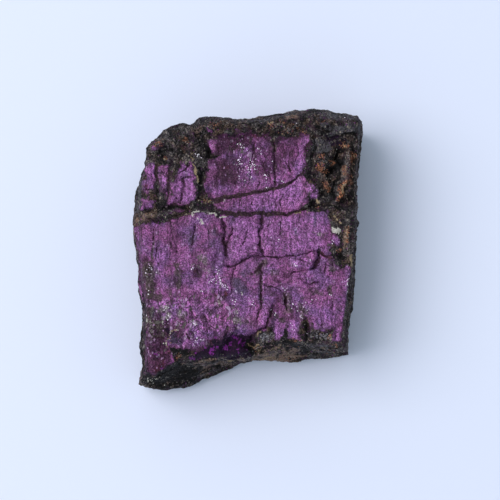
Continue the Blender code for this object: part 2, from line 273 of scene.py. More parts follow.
@dataclass(frozen=True)
class Outline:
    """The plan of the slab at one height, one side at a time."""

    bottom: Path
    top: Path
    left: Path
    right: Path

    def ring(self) -> Path:
        """Gives the four sides as one closed outline."""
        bottom, right, top, left = map(corners_of, (self.bottom, self.right, self.top, self.left))
        return tuple(itertools.chain(*bottom[:-1], *right[:-1], *top[:0:-1], *left[:0:-1]))

    @staticmethod
    def along(side: Path, share: Field) -> Field:
        """Gives places on one side by their share of its length.

        Args:
            side: The side.
            share: How far along the side each place lies.

        Returns:
            The places, one row each.
        """
        corners = np.array(corners_of(side))
        lengths = np.hypot(*np.diff(corners, axis=0).T)
        stations = np.concatenate(([0.0], np.cumsum(lengths))) / lengths.sum()
        return np.stack([np.interp(share, stations, corners[:, axis]) for axis in (0, 1)], axis=1)

    def stretch(self, u: Field, v: Field) -> Field:
        """Stretches the unit square over the plan.

        Args:
            u: Places across the square.
            v: Places up the square.

        Returns:
            The places on the plan, one row each.
        """
        u_column, v_column = u[:, None], v[:, None]
        across = (1 - v_column) * self.along(self.bottom, u) + v_column * self.along(self.top, u)
        upward = (1 - u_column) * self.along(self.left, v) + u_column * self.along(self.right, v)
        corners = (
            (1 - u_column) * (1 - v_column) * np.array(self.bottom[:2])
            + u_column * (1 - v_column) * np.array(self.bottom[-2:])
            + (1 - u_column) * v_column * np.array(self.top[:2])
            + u_column * v_column * np.array(self.top[-2:])
        )
        return across + upward - corners


BROW = Outline(
    bottom=(
        -9.35, -11.6, -8.4, -11.75, -7.4, -11.2, -6.5, -10.6, -5.5, -10.4, -4.5, -10.15, -3.5, -10.2,
        -2.5, -10.2, -1.5, -10.1, -0.5, -10, 0.3, -9.7, 1, -9.45, 2, -9.35, 3, -9.25, 4.8, -9.3, 6, -9.3,
        7.2, -9.35, 8, -9.3,
    ),
    top=(
        -9, 8.35, -8.55, 9, -8, 9.4, -7.5, 10.05, -6.6, 10.45, -5.8, 10.65, -5.2, 10.55, -4.8, 10.7,
        -4.3, 11.1, -3.5, 11.2, -1.5, 10.95, -0.4, 10.85, 0.6, 10.8, 1.7, 10.9, 2.8, 11.2, 3.9, 11.45,
        5, 11.65, 6, 11.7, 7.1, 11.6, 8.1, 11.35, 9.1, 11.25, 9.7, 11.1, 10.05, 10.65,
    ),
    left=(
        -9.35, -11.6, -9.2, -10.6, -9.25, -8.7, -9.2, -7, -9.1, -5.5, -9.25, -4.6, -9.55, -3.2, -9.6, -1.2,
        -9.65, 0.3, -9.75, 1.5, -9.75, 2.6, -9.6, 4, -9.5, 4.8, -9.4, 5.8, -9.2, 6.5, -9.05, 7.2, -9, 8.35,
    ),
    right=(
        8, -9.3, 8.1, -8, 8.25, -7, 8.4, -6.2, 8.5, -5.3, 8.7, -4.1, 8.9, -3.2, 9.05, -2.2, 9.1, -1.2,
        9.25, 0.3, 9.3, 1.5, 9.35, 3, 9.4, 4.5, 9.55, 6, 9.7, 7, 9.85, 8, 9.95, 9, 10.05, 10, 10.05, 10.65,
    ),
)

FOOT = Outline(
    bottom=(
        -10, -12, -9.3, -12.25, -8.4, -12.5, -7.8, -12.68, -6.5, -12.55, -5.7, -12.45, -5, -12.2,
        -4.1, -11.65, -3, -11.2, -1.9, -10.75, -0.8, -10.4, 0.3, -10.12, 1.4, -10.1, 2.5, -10.25, 3.5, -10.3,
        4.6, -10.1, 5.7, -10.12, 7.9, -9.97, 8.8, -9.75,
    ),
    top=(
        -8.95, 8.5, -7.4, 9.5, -6.3, 10, -5.2, 10.1, -4.2, 10.5, -3, 10.8, -1.5, 10.6, 0, 10.6, 1.5, 10.7,
        3, 11, 4.8, 11.4, 6.5, 11.4, 8, 11.2, 9.2, 11.1, 10.3, 10.9,
    ),
    left=(
        -10, -12, -9.75, -10.9, -9.45, -9.8, -9.45, -8.7, -9.4, -7, -9.25, -5.5, -9.4, -4.5, -9.75, -3.3,
        -9.9, -1.2, -9.95, 0, -10.05, 1.3, -10.1, 2.3, -9.9, 3.5, -9.75, 4.6, -9.65, 5.7, -9.3, 7, -8.95, 8.5,
    ),
    right=(
        8.8, -9.75, 8.8, -8.6, 8.85, -7.5, 9.08, -6.4, 9.18, -5.4, 9.3, -4.3, 9.42, -3.2, 9.5, -2.1, 9.55, -1,
        9.58, 0.1, 9.65, 1.2, 9.8, 2.3, 9.8, 3.4, 9.68, 4.6, 9.8, 5.7, 10, 6.8, 10.17, 7.9, 10.35, 9,
        10.4, 9.9, 10.3, 10.9,
    ),
)

# Sunk and raised parts of the face: size is how far they rise
PANELS = {
    "upper panel under the rim": Area(-0.22, 0.25, (
        -3.6, 9.2, -1, 9.2, 1, 9.4, 2.4, 9.5, 3.8, 9.5, 5.2, 9.2, 5.35, 8, 5.1, 6.7, 4.7, 5.9, 3, 4.9,
        0.7, 4.3, -2.2, 3.85, -3.6, 3.7,
    )),
    "strip between the veins": Area(-0.08, 0.2, (
        -3.4, 3.2, -0.8, 3.8, 1.8, 4.5, 4.2, 5.2, 5, 5.5, 5.2, 4.6, 4.2, 2.7, 1.8, 2.4, -1.5, 2.4,
    )),
    "dark corner": Area(-0.45, 0.35, (
        5.7, 9, 7.5, 8.9, 9.6, 9, 9.5, 7.5, 9.2, 5.5, 9.1, 3.6, 8.7, 2.7, 6.9, 3.1, 6.2, 3.5, 6.2, 4.5,
        5.4, 5.8, 5.7, 7.6,
    )),
    "dark hollow at the lower end": Area(-1.15, 0.6, (
        -3, -10.9, -2.6, -9.4, -2.1, -8.6, -1, -8.2, 0.15, -8.2, 0.35, -9.2, 0.5, -10.9,
    )),
    "step beside the hollow": Area(-0.4, 0.3, (
        0.15, -8.2, 0.9, -7.9, 1.5, -7.7, 2.1, -8.1, 2.1, -8.8, 1.7, -9.6, 0.2, -9.9,
    )),
    "plum slope": Area(-0.75, 1.1, (
        -10.2, -13, -10.2, -9, -8.5, -9.4, -7, -9.3, -5.6, -9.4, -3.8, -9.3, -2.6, -9.3, -2, -11.5, -6.5, -12,
        -8, -13.5,
    )),
    "lower right fringe": Area(-0.35, 0.25, (4.9, -8.6, 5.6, -8.2, 6.4, -8.3, 7, -8.5, 7.1, -9.8, 4.9, -9.8)),
    "sunk patch in the lower middle": Area(-0.2, 0.4, (
        1.8, -5.8, 2.8, -5, 3.8, -5.4, 4.4, -6.8, 4.3, -8.2, 2.6, -8.3, 1.8, -7.2,
    )),
    "middle left block": Area(0.1, 0.2, (-4.7, 1.4, -2.4, 1.8, -2.2, -0.4, -3.4, -1.9, -4.7, -1)),
    "middle block": Area(0.1, 0.2, (-1.5, 1.8, 0.8, 1.8, 0.7, -1.3, -0.8, -1.9, -1.7, -2.1)),
    "sunk field at the left": Area(-0.16, 0.5, (
        -9.6, -1.8, -8.3, -1.8, -8.2, -3.4, -6.9, -3.6, -6.9, -5.2, -8.6, -5.6, -9.4, -5.2,
    )),
}

# Veins and cracks: size is their depth
VEINS = {
    "main vein, upper strand": Line(0.26, 0.36, (
        -9.9, 2.4, -8.6, 2.5, -7.6, 2.7, -6.6, 2.95, -5.4, 2.85, -4.2, 2.75, -3.2, 2.7, -2.2, 2.35, -1.2, 2.2,
        0.4, 2.2, 2, 2.2, 3.4, 2.1, 4.6, 2.5, 5.6, 2.9, 6.6, 3,
    )),
    "main vein, lower strand": Line(0.2, 0.32, (-10, 1.9, -8.6, 1.75, -7.4, 1.85, -6.2, 2.2, -5, 2.5)),
    "second vein": Line(0.22, 0.32, (
        -3.6, 3.3, -2.2, 3.65, -0.8, 3.85, 0.7, 4.15, 1.8, 4.45, 3, 4.75, 4.1, 5.2, 4.9, 5.9, 5.25, 6.8,
        5.4, 8, 5.6, 9,
    )),
    "dark band between the upper panels": Line(0.36, 0.55, (
        -4.1, 3.2, -4.1, 5, -3.95, 6.6, -3.75, 8, -4, 9.2,
    )),
    "furrow in the upper left": Line(0.2, 0.3, (-8.2, 7, -8.15, 5.6, -8, 4.2, -7.8, 3.1)),
    "second furrow in the upper left": Line(0.16, 0.26, (-6.75, 7.1, -6.9, 5.8, -7.1, 4.4, -7.2, 3.6)),
    "back of the dark hollow": Line(0.5, 0.4, (0.2, -8.4, 0.1, -9.2, 0.25, -10.1)),
    "crease in the rim": Line(0.2, 0.22, (5.7, 9.95, 6.2, 9.7, 6.8, 9.65, 7.5, 9.6)),
    "crease over the dark corner": Line(0.25, 0.25, (6.7, 8.95, 7.6, 9.05, 8.4, 9.15, 9.1, 9.3, 9.8, 9.25)),
    "black crack at the lower edge": Line(0.3, 0.24, (4.85, -7.3, 4.9, -8.3, 4.8, -9.4)),
}

CRACKS = {
    "crack down the upper panel": Line(0.22, 0.26, (2.4, 9.2, 2.35, 8, 2.3, 6.5, 2.4, 5.6, 2.3, 4.8)),
    "fine crack down the upper panel": Line(0.16, 0.22, (
        0.6, 8.8, 0.5, 8, 0.45, 7.4, 0.2, 7, 0.15, 6.2, 0.05, 5.3, -0.1, 4.6,
    )),
    "crack down the middle": Line(0.26, 0.28, (
        1.1, 2.1, 1.05, 1, 0.9, 0.5, 0.88, -0.1, 0.8, -0.5, 1.1, -1.1, 1.2, -1.6,
    )),
    "crack down the lower middle": Line(0.14, 0.22, (
        1.1, -2, 0.95, -2.9, 0.95, -4, 0.98, -5.2, 0.9, -6.2, 0.62, -7.1, 0.55, -7.8,
    )),
    "crack across the middle": Line(0.2, 0.21, (
        -2.4, -2.5, -1.2, -2.25, -0.6, -2, 0, -1.7, 0.4, -1.5, 1, -1.6, 2, -1.65, 3, -1.65, 4, -1.7,
        4.6, -1.55, 5.4, -1.25, 6, -1.2,
    )),
    "crack on past the notch": Line(0.14, 0.22, (6, -1.4, 6.6, -1.65, 7.5, -1.7)),
    "notch at the right": Line(0.34, 0.3, (6.15, -1.1, 6, -1.5, 6.1, -1.9, 5.8, -2.3, 5.5, -2.7, 5.2, -2.85)),
    "crack below the notch": Line(0.16, 0.22, (
        5.8, -2.5, 5.2, -2.95, 4.5, -3, 3.8, -3.1, 3.3, -3.4, 3, -3.5,
    )),
    "crack in the notch block": Line(0.18, 0.22, (3.9, -1.85, 4.5, -1.95, 5, -2.2)),
    "crack left of the middle block": Line(0.19, 0.24, (
        -2.35, 1.95, -2.25, 1.2, -2.15, 0.2, -2, -0.6, -2.1, -1.2, -2.2, -1.8,
    )),
    "crack beside it": Line(0.2, 0.22, (-1.6, 1.25, -1.65, 0.4, -1.85, -0.3, -2, -0.9, -1.95, -1.7)),
    "left crack": Line(0.1, 0.2, (-6.95, 1.8, -6.8, 0.6, -6.6, 0, -6.4, -1)),
    "crack down the left middle": Line(0.16, 0.22, (-4.7, 1.5, -4.75, 1, -4.95, 0, -4.9, -0.6)),
    "left edge furrow": Line(0.08, 0.2, (-8.45, 1.3, -8.45, 0.3, -8.55, -0.9)),
    "crack in the upper left panel": Line(0.2, 0.26, (-5.75, 5.5, -5.75, 4.6, -5.9, 4.2, -5.95, 3.3)),
    "short crack low in the middle": Line(0.2, 0.24, (
        1.9, -5.9, 1.75, -6.6, 1.6, -7.2, 1.25, -7.9, 0.6, -8.1, 0.1, -8.45,
    )),
    "small crack under the notch": Line(0.14, 0.2, (4.3, -3.2, 4.3, -3.7, 4.7, -4, 5.3, -4.15, 6.2, -3.95)),
    "crease below the white crust": Line(0.13, 0.22, (-1.25, -2.3, -1.4, -3, -1.6, -3.6, -1.75, -4.9)),
    "shallow vein in the lower middle": Line(0.06, 0.3, (1.4, -2.1, 0.9, -2.5, 0.2, -2.9, -0.6, -3.2)),
    "scar down the right of the middle": Line(0.12, 0.22, (
        1.2, -4.1, 2.1, -4.35, 2.9, -4.8, 3.05, -5.6, 3.1, -6.8,
    )),
    "gap beside the lower block": Line(0.14, 0.4, (4.6, -7.2, 4.7, -7.7, 4.7, -8.4)),
}

# Hairline cracks, which the solid leaves out: where each one starts and ends
HAIRLINES = strokes(
    0.1, 0.18,
    (2.8, 1.9, 2.8, 1, 2.7, 0.2), (0.28, 3.8, 0.2, 2.9), (-0.85, 3.6, -0.85, 2.5), (1.15, 3.8, 1.1, 2.6),
    (-1.35, 3.7, -1.4, 2.6), (1.55, 4.1, 1.6, 3.2), (1.85, 4.2, 1.8, 2.9), (2.2, 4.3, 2.15, 3.1),
    (2.5, 3.9, 2.5, 2.6), (2.9, 4.2, 2.9, 2.7), (3.55, 4.5, 3.45, 3.2), (4.1, 4.1, 4, 3),
    (4.6, 4.4, 4.4, 3.3), (0.7, 3.4, 0.7, 2.7), (-0.3, 3.5, -0.3, 2.8),
    (0, 1, -0.28, 0.5, -0.25, 0, -0.6, -0.6, -0.88, -0.75, -0.9, -1.7), (-0.5, 1.6, -0.75, 1.2),
    (0.5, -0.1, 0.2, -0.2), (1.7, 1.4, 1.55, 1.1), (-0.9, 1.9, -0.6, 1.75), (3.1, -5.2, 3.1, -5.9),
    (3.1, -3.1, 3.05, -3.7), (3.3, 6.9, 3.6, 6.4, 3.85, 5.8), (4.4, 8.6, 4.45, 7.6, 4.2, 6.9),
    (-1.5, 9, -1.6, 7.8, -1.9, 6.9), (1.4, 6.9, 1.4, 5.9), (1.9, 6.5, 1.85, 5.7), (-2.7, 8.6, -2.75, 7.4),
    (-1.3, 5.8, -1.2, 4.6), (3.15, 8.6, 3.1, 7.2), (0.9, 5.4, 0.8, 4.6), (-0.6, 5, -0.7, 4.2),
    (3.7, 8.2, 3.75, 7.3), (5.75, 0.5, 5.75, -1.1), (3.7, 0.1, 3.72, -1.5), (6.4, -0.2, 6.4, -1.2),
    (7.2, -2, 7.25, -3.6), (6.6, -2.4, 6.6, -3.4), (7.15, -5.4, 7.15, -7.9), (6.2, -6.4, 6.25, -8),
    (7.5, -8.2, 7.5, -9), (-8.1, -0.6, -8.1, -2.4), (-3.5, 1.3, -3.7, 0.3),
    (-7.9, -8.8, -7.9, -9.8, -8.1, -10.9), (-8.8, -8.7, -8.75, -9.9), (-8.4, -8.8, -8.4, -9.6),
    (-9.3, 4.6, -8.9, 4.45, -8.5, 4.5), (-6.35, 5.5, -5.4, 5.55, -4.7, 5.45), (-8.9, 5.9, -8.4, 5.5),
    (-7.6, 6.3, -7.3, 5.9), (-6.4, 4.8, -6.6, 4), (-5.2, 4.8, -5.3, 3.8), (-6.2, 4.4, -6.3, 3.4),
    (-5.2, 7, -5.6, 6.3, -6.2, 5.9), (-4.9, -4, -5.7, -3.7), (-3.6, -5, -4.4, -5.3), (-3.3, -6.1, -3.7, -7),
    (-5.2, -6, -5, -7.1), (-5.5, -8.3, -5.2, -9.2), (-2, -6.5, -2.6, -7.2), (-0.5, -7.1, 0, -7.5, 0.2, -7.9),
    (-2, -7.6, -2, -8.5), (-1.4, -7.8, -0.4, -7.9), (-4, -7.6, -3.8, -8.4),
    (-9.4, -8.5, -8.6, -8.65, -7.6, -8.55), (0.1, -6, 0, -6.9),
)

# Raised lips: size is their height
RIDGES = {
    "rim": Line(0.5, 1.1, (-3.8, 10.2, -2, 10, 0, 9.9, 2.2, 10.2, 4.5, 10.5, 6.8, 10.5, 9.3, 10.2)),
    "rim at the right": Line(0.3, 0.7, (9.5, 9.4, 9.2, 7.6, 9, 5.8, 8.9, 4.2)),
    "shelf over the dark corner": Line(0.2, 0.4, (6.2, 9.4, 7.6, 9.3, 8.6, 9.3, 9.7, 9.5)),
    "upper left rim": Line(0.25, 0.8, (-8.4, 7.9, -7.2, 8.8, -5.8, 9.4, -4.8, 9.5)),
    "knob in the dark corner": Line(0.45, 0.6, (6.5, 7.2, 7, 6.8)),
    "spur in the dark corner": Line(0.45, 0.5, (8, 3.6, 8.5, 5, 8.7, 6.6, 8.9, 8)),
    "lower spur in the dark corner": Line(0.3, 0.5, (6.6, 4.2, 7.1, 5.1)),
    "bead along the right edge": Line(0.18, 0.4, (8.7, 1, 8.8, -0.6, 8.7, -2.4)),
}

# Pits: middle, radius and depth
PITS = (
    (8, 7.55, 0.4, 0.6), (7.85, 7.1, 0.4, 0.6), (8.15, 6.6, 0.3, 0.45), (7.6, 6.1, 0.4, 0.65),
    (7.1, 5.8, 0.4, 0.5), (7.6, 4.9, 0.3, 0.4), (7.4, 4.3, 0.35, 0.5), (5.7, 3.2, 0.5, 0.4),
    (8.6, 3.4, 0.5, 0.35), (-3.6, 7.7, 0.4, 0.45), (-3.1, 7.1, 0.3, 0.25), (-5.6, 8.6, 0.5, 0.3),
    (-7.4, 7.9, 0.5, 0.25), (-0.3, -9.3, 0.8, 0.6), (8.2, -1.6, 0.45, 0.4), (7.1, -4.8, 0.35, 0.2),
    (-4.6, -3.2, 0.5, 0.18), (-8.5, -2.6, 0.4, 0.25), (-6.3, -10.3, 0.45, 0.4), (-5.2, -10.6, 0.5, 0.45),
    (3.05, -5.5, 0.2, 0.16), (5.6, -5.3, 0.4, 0.2),
)

# Where the dark rind covers the face
RIND = (
    Area(1, 0.8, (
        -12, 2.7, -9.8, 2.6, -8.3, 2.5, -7.6, 2.7, -6.9, 3, -5.4, 2.9, -4.6, 2.8, -3, 2.8, -3.2, 3.4,
        -3.7, 3.9, -3.85, 4.6, -3.8, 5.6, -3.65, 6.6, -3.4, 7.1, -2.8, 7.25, -2.6, 7.6, -3.1, 7.8, -3.6, 8,
        -3.7, 8.7, -3.2, 9, -2.2, 9.3, -1.3, 9.3, -0.9, 9.7, -0.4, 9.4, 0.6, 9.5, 1.5, 9.3, 2.1, 9.2,
        2.2, 8.6, 2.6, 8.6, 2.8, 9, 3.6, 9, 4.1, 9.2, 4.5, 9.4, 5.3, 9.2, 5.5, 8.6, 5.3, 7.9, 5.05, 7,
        4.95, 6.2, 4.8, 5.7, 5.1, 5.3, 5.2, 4.8, 5.15, 4, 5.1, 3.4, 4.9, 2.9, 4.6, 2.6, 5.2, 2.5, 6.4, 2.4,
        6.9, 2.2, 7.1, 1.6, 7.2, 0.9, 7.35, 0.4, 7.9, 0.35, 8, -0.2, 7.8, -0.6, 7.2, -0.8, 7.1, -1.2,
        7.4, -1.6, 7.4, -2.2, 7.6, -2.6, 8.4, -2.6, 8.65, -3, 12, -3, 12, 13, -12, 13,
    )),
    Area(1, 0.6, (
        -12, 1.5, -9.9, 1.5, -8.6, 1.55, -7.6, 1.7, -6.6, 1.95, -5.7, 2.2, -5, 2.45, -4.5, 2.5, -2.8, 2.3,
        -2.4, 2.5, -3, 3, -4.5, 3, -12, 2.9,
    )),
    Area(1, 0.7, (
        -12, -11.4, -9.3, -11.6, -8, -11.9, -7.3, -11.6, -6.8, -10.8, -6.9, -10, -7, -9.6, -6, -9.55,
        -4.8, -9.6, -4.6, -10.3, -3.4, -10.3, -2.6, -10.3, -1, -10.2, 0.2, -10.2, 0.25, -9.2, 0.1, -8.5,
        0.6, -8.15, 1.3, -8.1, 1.7, -7.6, 2, -7.8, 2.1, -9, 2.5, -9, 2.9, -8.9, 3.1, -8, 3.3, -9, 4.3, -9,
        4.5, -8, 4.6, -7.2, 5.1, -7.2, 5.2, -8.1, 6, -8.3, 7.1, -8.1, 7.2, -9.2, 8, -9.2, 8.2, -8, 12, -8,
        12, -14, -12, -14,
    )),
)


@dataclass(frozen=True)
class Face:
    """The upper face: what is pressed into it and raised on it."""

    panels: tuple[Area, ...] = tuple(PANELS.values())
    ridges: tuple[Line, ...] = tuple(RIDGES.values())
    veins: tuple[Line, ...] = tuple(VEINS.values())
    cracks: tuple[Line, ...] = tuple(CRACKS.values())
    hairlines: tuple[Line, ...] = HAIRLINES
    pits: tuple[tuple[float, float, float, float], ...] = PITS
    plate_width: float = 1.1
    plate_length: float = 2.6
    plate_step: float = 0.03
    plate_lean: float = 0.035
    stria: float = 0.008
    jag: float = 0.095
    crack_depth: float = 0.85

    @staticmethod
    def warp(x: Field, y: Field) -> tuple[Field, Field]:
        """Bends the plan a little, so that what is drawn on it gets uneven edges.

        Args:
            x: Across the slab.
            y: Along the slab.

        Returns:
            The bent places.
        """
        level = np.zeros_like(x)
        return x + 0.16 * rough(x, y, level, 1.4, 3.1), y + 0.16 * rough(x, y, level, 1.4, 8.7)

    @staticmethod
    def rim_share(x: Field, y: Field) -> Field:
        """Tells how rough the face is at a place, as the solid has it.

        Args:
            x: Across the slab.
            y: Along the slab.

        Returns:
            The roughness at each place, from 0 to 1.
        """
        top = smooth(9.0, 9.6, y)
        upper_left = smooth(7.1, 7.6, y) * smooth(3.6, 4.2, -x)
        corner = smooth(5.2, 5.8, x) * smooth(2.6, 3.2, y)
        right = smooth(7.6, 8.4, x + 0.25 * y) * smooth(-3.0, -2.0, y)
        lower = smooth(9.2, 9.8, -y)
        return np.maximum.reduce([top, upper_left, corner, right, lower])

    @staticmethod
    def brow_radius(x: Field, y: Field) -> Field:
        """Tells how far the face is rounded over at its edge.

        Args:
            x: Across the slab.
            y: Along the slab.

        Returns:
            The radius at each place.
        """
        top = 0.75 * smooth(6.5, 9.5, y)
        left = 0.25 * smooth(7.0, 9.0, -x)
        lower_left = 0.55 * smooth(7.5, 10.0, -y) * smooth(-1.0, 1.5, -x)
        return 0.22 + np.maximum.reduce([top, left, lower_left])

    def broken(self, lines: tuple[Line, ...], x: Field, y: Field) -> list[Field]:
        """Draws lines as cracks: jagged, now wide and now narrow, and running out at both ends.

        Args:
            lines: The lines, by size, half width and course.
            x: Places across the slab, bent.
            y: Places along the slab, bent.

        Returns:
            For each line, its share at each place.
        """
        places = np.column_stack((x, y, 0 * x))
        torn_x = x + self.jag * (grain(places, 0.55, 71) + 0.5 * grain(places, 0.2, 74))
        torn_y = y + self.jag * grain(places, 0.55, 72)
        width = 1.0 + 0.55 * grain(places, 0.8, 73, 1)
        shares = []
        for line in lines:
            gap = path_distance(torn_x, torn_y, line.path) / width
            tip = np.minimum(*(np.hypot(x - end[0], y - end[1]) for end in (line.path[:2], line.path[-2:])))
            faint = min(1.0, 0.84 + 0.8 * line.size)
            ending = 0.75 + 0.25 * smooth(0.0, 0.35, tip)
            shares.append(faint * (1 - smooth(0.0, line.half_width, gap)) * ending)
        return shares

    def plates(self, x: Field, y: Field) -> tuple[Field, Field, Field]:
        """Splits the face into long narrow cleavage plates that step and lean a little.

        Args:
            x: Across the slab.
            y: Along the slab.

        Returns:
            The height that the plates add, a tone between 0 and 1 that is even on each plate, and 1 on the
            joints between them.
        """
        u = (x + 0.1 * y) / self.plate_width
        v = y / self.plate_length
        column, row = np.floor(u), np.floor(v)
        nearest, second = np.full(x.shape, np.inf), np.full(x.shape, np.inf)
        height, tone = np.zeros_like(x), np.zeros_like(x)
        for step_u, step_v in itertools.product((-1, 0, 1), repeat=2):
            cells = np.stack((column + step_u, row + step_v, 0 * row), axis=1).astype(np.int64)
            off_u = u - cells[:, 0] - hashed(cells, 1)
            off_v = v - cells[:, 1] - hashed(cells, 2)
            gap = np.hypot(off_u, off_v)
            lean = (hashed(cells, 3) - 0.5) * off_u * self.plate_width
            lean += (hashed(cells, 4) - 0.5) * off_v * self.plate_length * 0.6
            own = self.plate_step * (2 * hashed(cells, 5) - 1) + 2 * self.plate_lean * lean
            closer = gap < nearest
            second = np.where(closer, nearest, np.minimum(second, gap))
            nearest = np.where(closer, gap, nearest)
            height = np.where(closer, own, height)
            tone = np.where(closer, hashed(cells, 6), tone)
        return height, tone, 1 - smooth(0.03, 0.14, second - nearest)

    def relief(self, x: Field, y: Field) -> Field:
        """Gives the height of the upper face above or below its mean plane.

        Args:
            x: Across the slab.
            y: Along the slab.

        Returns:
            The height at each place.
        """
        level = np.zeros_like(x)
        bent_x, bent_y = self.warp(x, y)
        height = 0.12 * rough(x, y, level, 5.5, 1.9)
        for panel in self.panels:
            height += panel.size * panel.share(bent_x, bent_y)
        for ridge in self.ridges:
            height += ridge.size * ridge.share(bent_x, bent_y)
        for line, share in zip(self.veins, self.broken(self.veins, bent_x, bent_y)):
            height -= line.size * share
        cracks = (*self.cracks, *self.hairlines)
        for line, share in zip(cracks, self.broken(cracks, bent_x, bent_y)):
            height -= self.crack_depth * line.size * share**2
        for middle_x, middle_y, radius, depth in self.pits:
            gap = np.hypot(bent_x - middle_x, bent_y - middle_y)
            height -= depth * (1 - smooth(0.0, radius * 1.4, gap))
        return height + 0.13 * self.rim_share(bent_x, bent_y) * rough(x, y, level, 0.9, 5.3)


@dataclass(frozen=True)
class Walls:
    """The broken sides and the underside."""

    spot_middle: Point = (0.2, -0.6)
    spot_half: Point = (4.6, 5.2)
    spot_ledge: float = 0.1

    def underside(self, x: Field, y: Field) -> Field:
        """Gives the height of the underside: 0 on the flat spot that the slab rests on.

        Args:
            x: Across the slab.
            y: Along the slab.

        Returns:
            The height at each place.
        """
        level = np.zeros_like(x)
        reach_x = (x - self.spot_middle[0]) / self.spot_half[0]
        reach = np.hypot(reach_x, (y - self.spot_middle[1]) / self.spot_half[1])
        reach += 0.32 * rough(x, y, level, 4.5, 12.4) + 0.08 * rough(x, y, level, 1.2, 9.4)
        away = smooth(1.0, 1.3, reach)
        ledges = 0.22 * smooth(-0.12, 0.12, rough(0.5 * x, y, level, 4.0, 20.2))
        uneven = 0.14 * (1 + rough(x, y, level, 2.0, 16.6))
        return away * (self.spot_ledge + ledges + uneven + 0.12 * np.clip(reach - 1.0, 0.0, 1.2))

    @staticmethod
    def relief(x: Field, y: Field, z: Field) -> Field:
        """Tells how far the walls stand out or in: broken faces, and ledges of harder beds.

        Args:
            x: Across the slab.
            y: Along the slab.
            z: Heights.

        Returns:
            How far each place is pushed outwards.
        """
        bedding = rough(0.22 * x, 0.22 * y, z, 1.5, 30.5)
        ledges = 0.2 * smooth(-0.12, 0.12, bedding) + 0.16 * smooth(0.25, 0.45, bedding)
        facets = 0.42 * rough(x, y, 1.3 * z, 5.0, 34.8)
        chips = 0.14 * np.abs(rough(x, y, 1.5 * z, 1.7, 41.2))
        return ledges + facets - chips - 0.12

    @staticmethod
    def bulge(x: Field, y: Field) -> Field:
        """Tells how far the walls swell halfway up.

        Args:
            x: Across the slab.
            y: Along the slab.

        Returns:
            How far each place is pushed outwards.
        """
        left = smooth(6.0, 9.5, -x)
        top = smooth(7.0, 10.0, y)
        right_corner = top * smooth(6.5, 9.0, x)
        return 0.32 * left - 0.12 * top + 0.42 * right_corner


# Where purple shows through the rind
WINDOWS = (
    Area(1, 0.7, (
        -9.4, 4.6, -8.9, 4.2, -8.3, 4.6, -8.1, 5.4, -8.1, 6.4, -8.3, 7, -8.7, 7.2, -9.1, 6.7, -9.3, 5.6,
    )),
    Area(0.95, 0.8, (-8, 5, -7.8, 4.5, -7.1, 4.4, -6.9, 5.2, -6.9, 6.2, -7.2, 6.8, -7.7, 6.9, -7.95, 6.2)),
    Area(1, 0.6, (
        -6.85, 4.9, -6.4, 5.6, -6.3, 6.3, -6.25, 7, -5.9, 7.1, -5.7, 6.8, -5.3, 7.15, -5, 7, -4.75, 6.2,
        -4.6, 5.6, -4.6, 4, -4.75, 3.3, -5.2, 3.1, -6.4, 3.05, -7, 3.2, -7.15, 3.5, -6.8, 4,
    )),
    Area(0.85, 0.8, (-9.8, 2.75, -9.65, 3.7, -9.2, 3.95, -8.7, 3.7, -8.4, 3.3, -8.4, 2.8, -9, 2.65)),
    Line(1, 0.6, (-7.5, 4.3, -7.2, 3.9)),
    Line(0.9, 0.35, (-8.45, 8.35, -8.2, 8.2)),
    Line(0.75, 0.35, (-3.5, 9.7, -3.3, 9.5)),
    Line(1, 0.8, (5.5, 4.4, 5.75, 4)),
    Line(0.8, 0.35, (-6.9, 2.45, -5.9, 2.6)),
    Line(0.6, 0.4, (8.8, -3, 8.8, -3.6)),
)

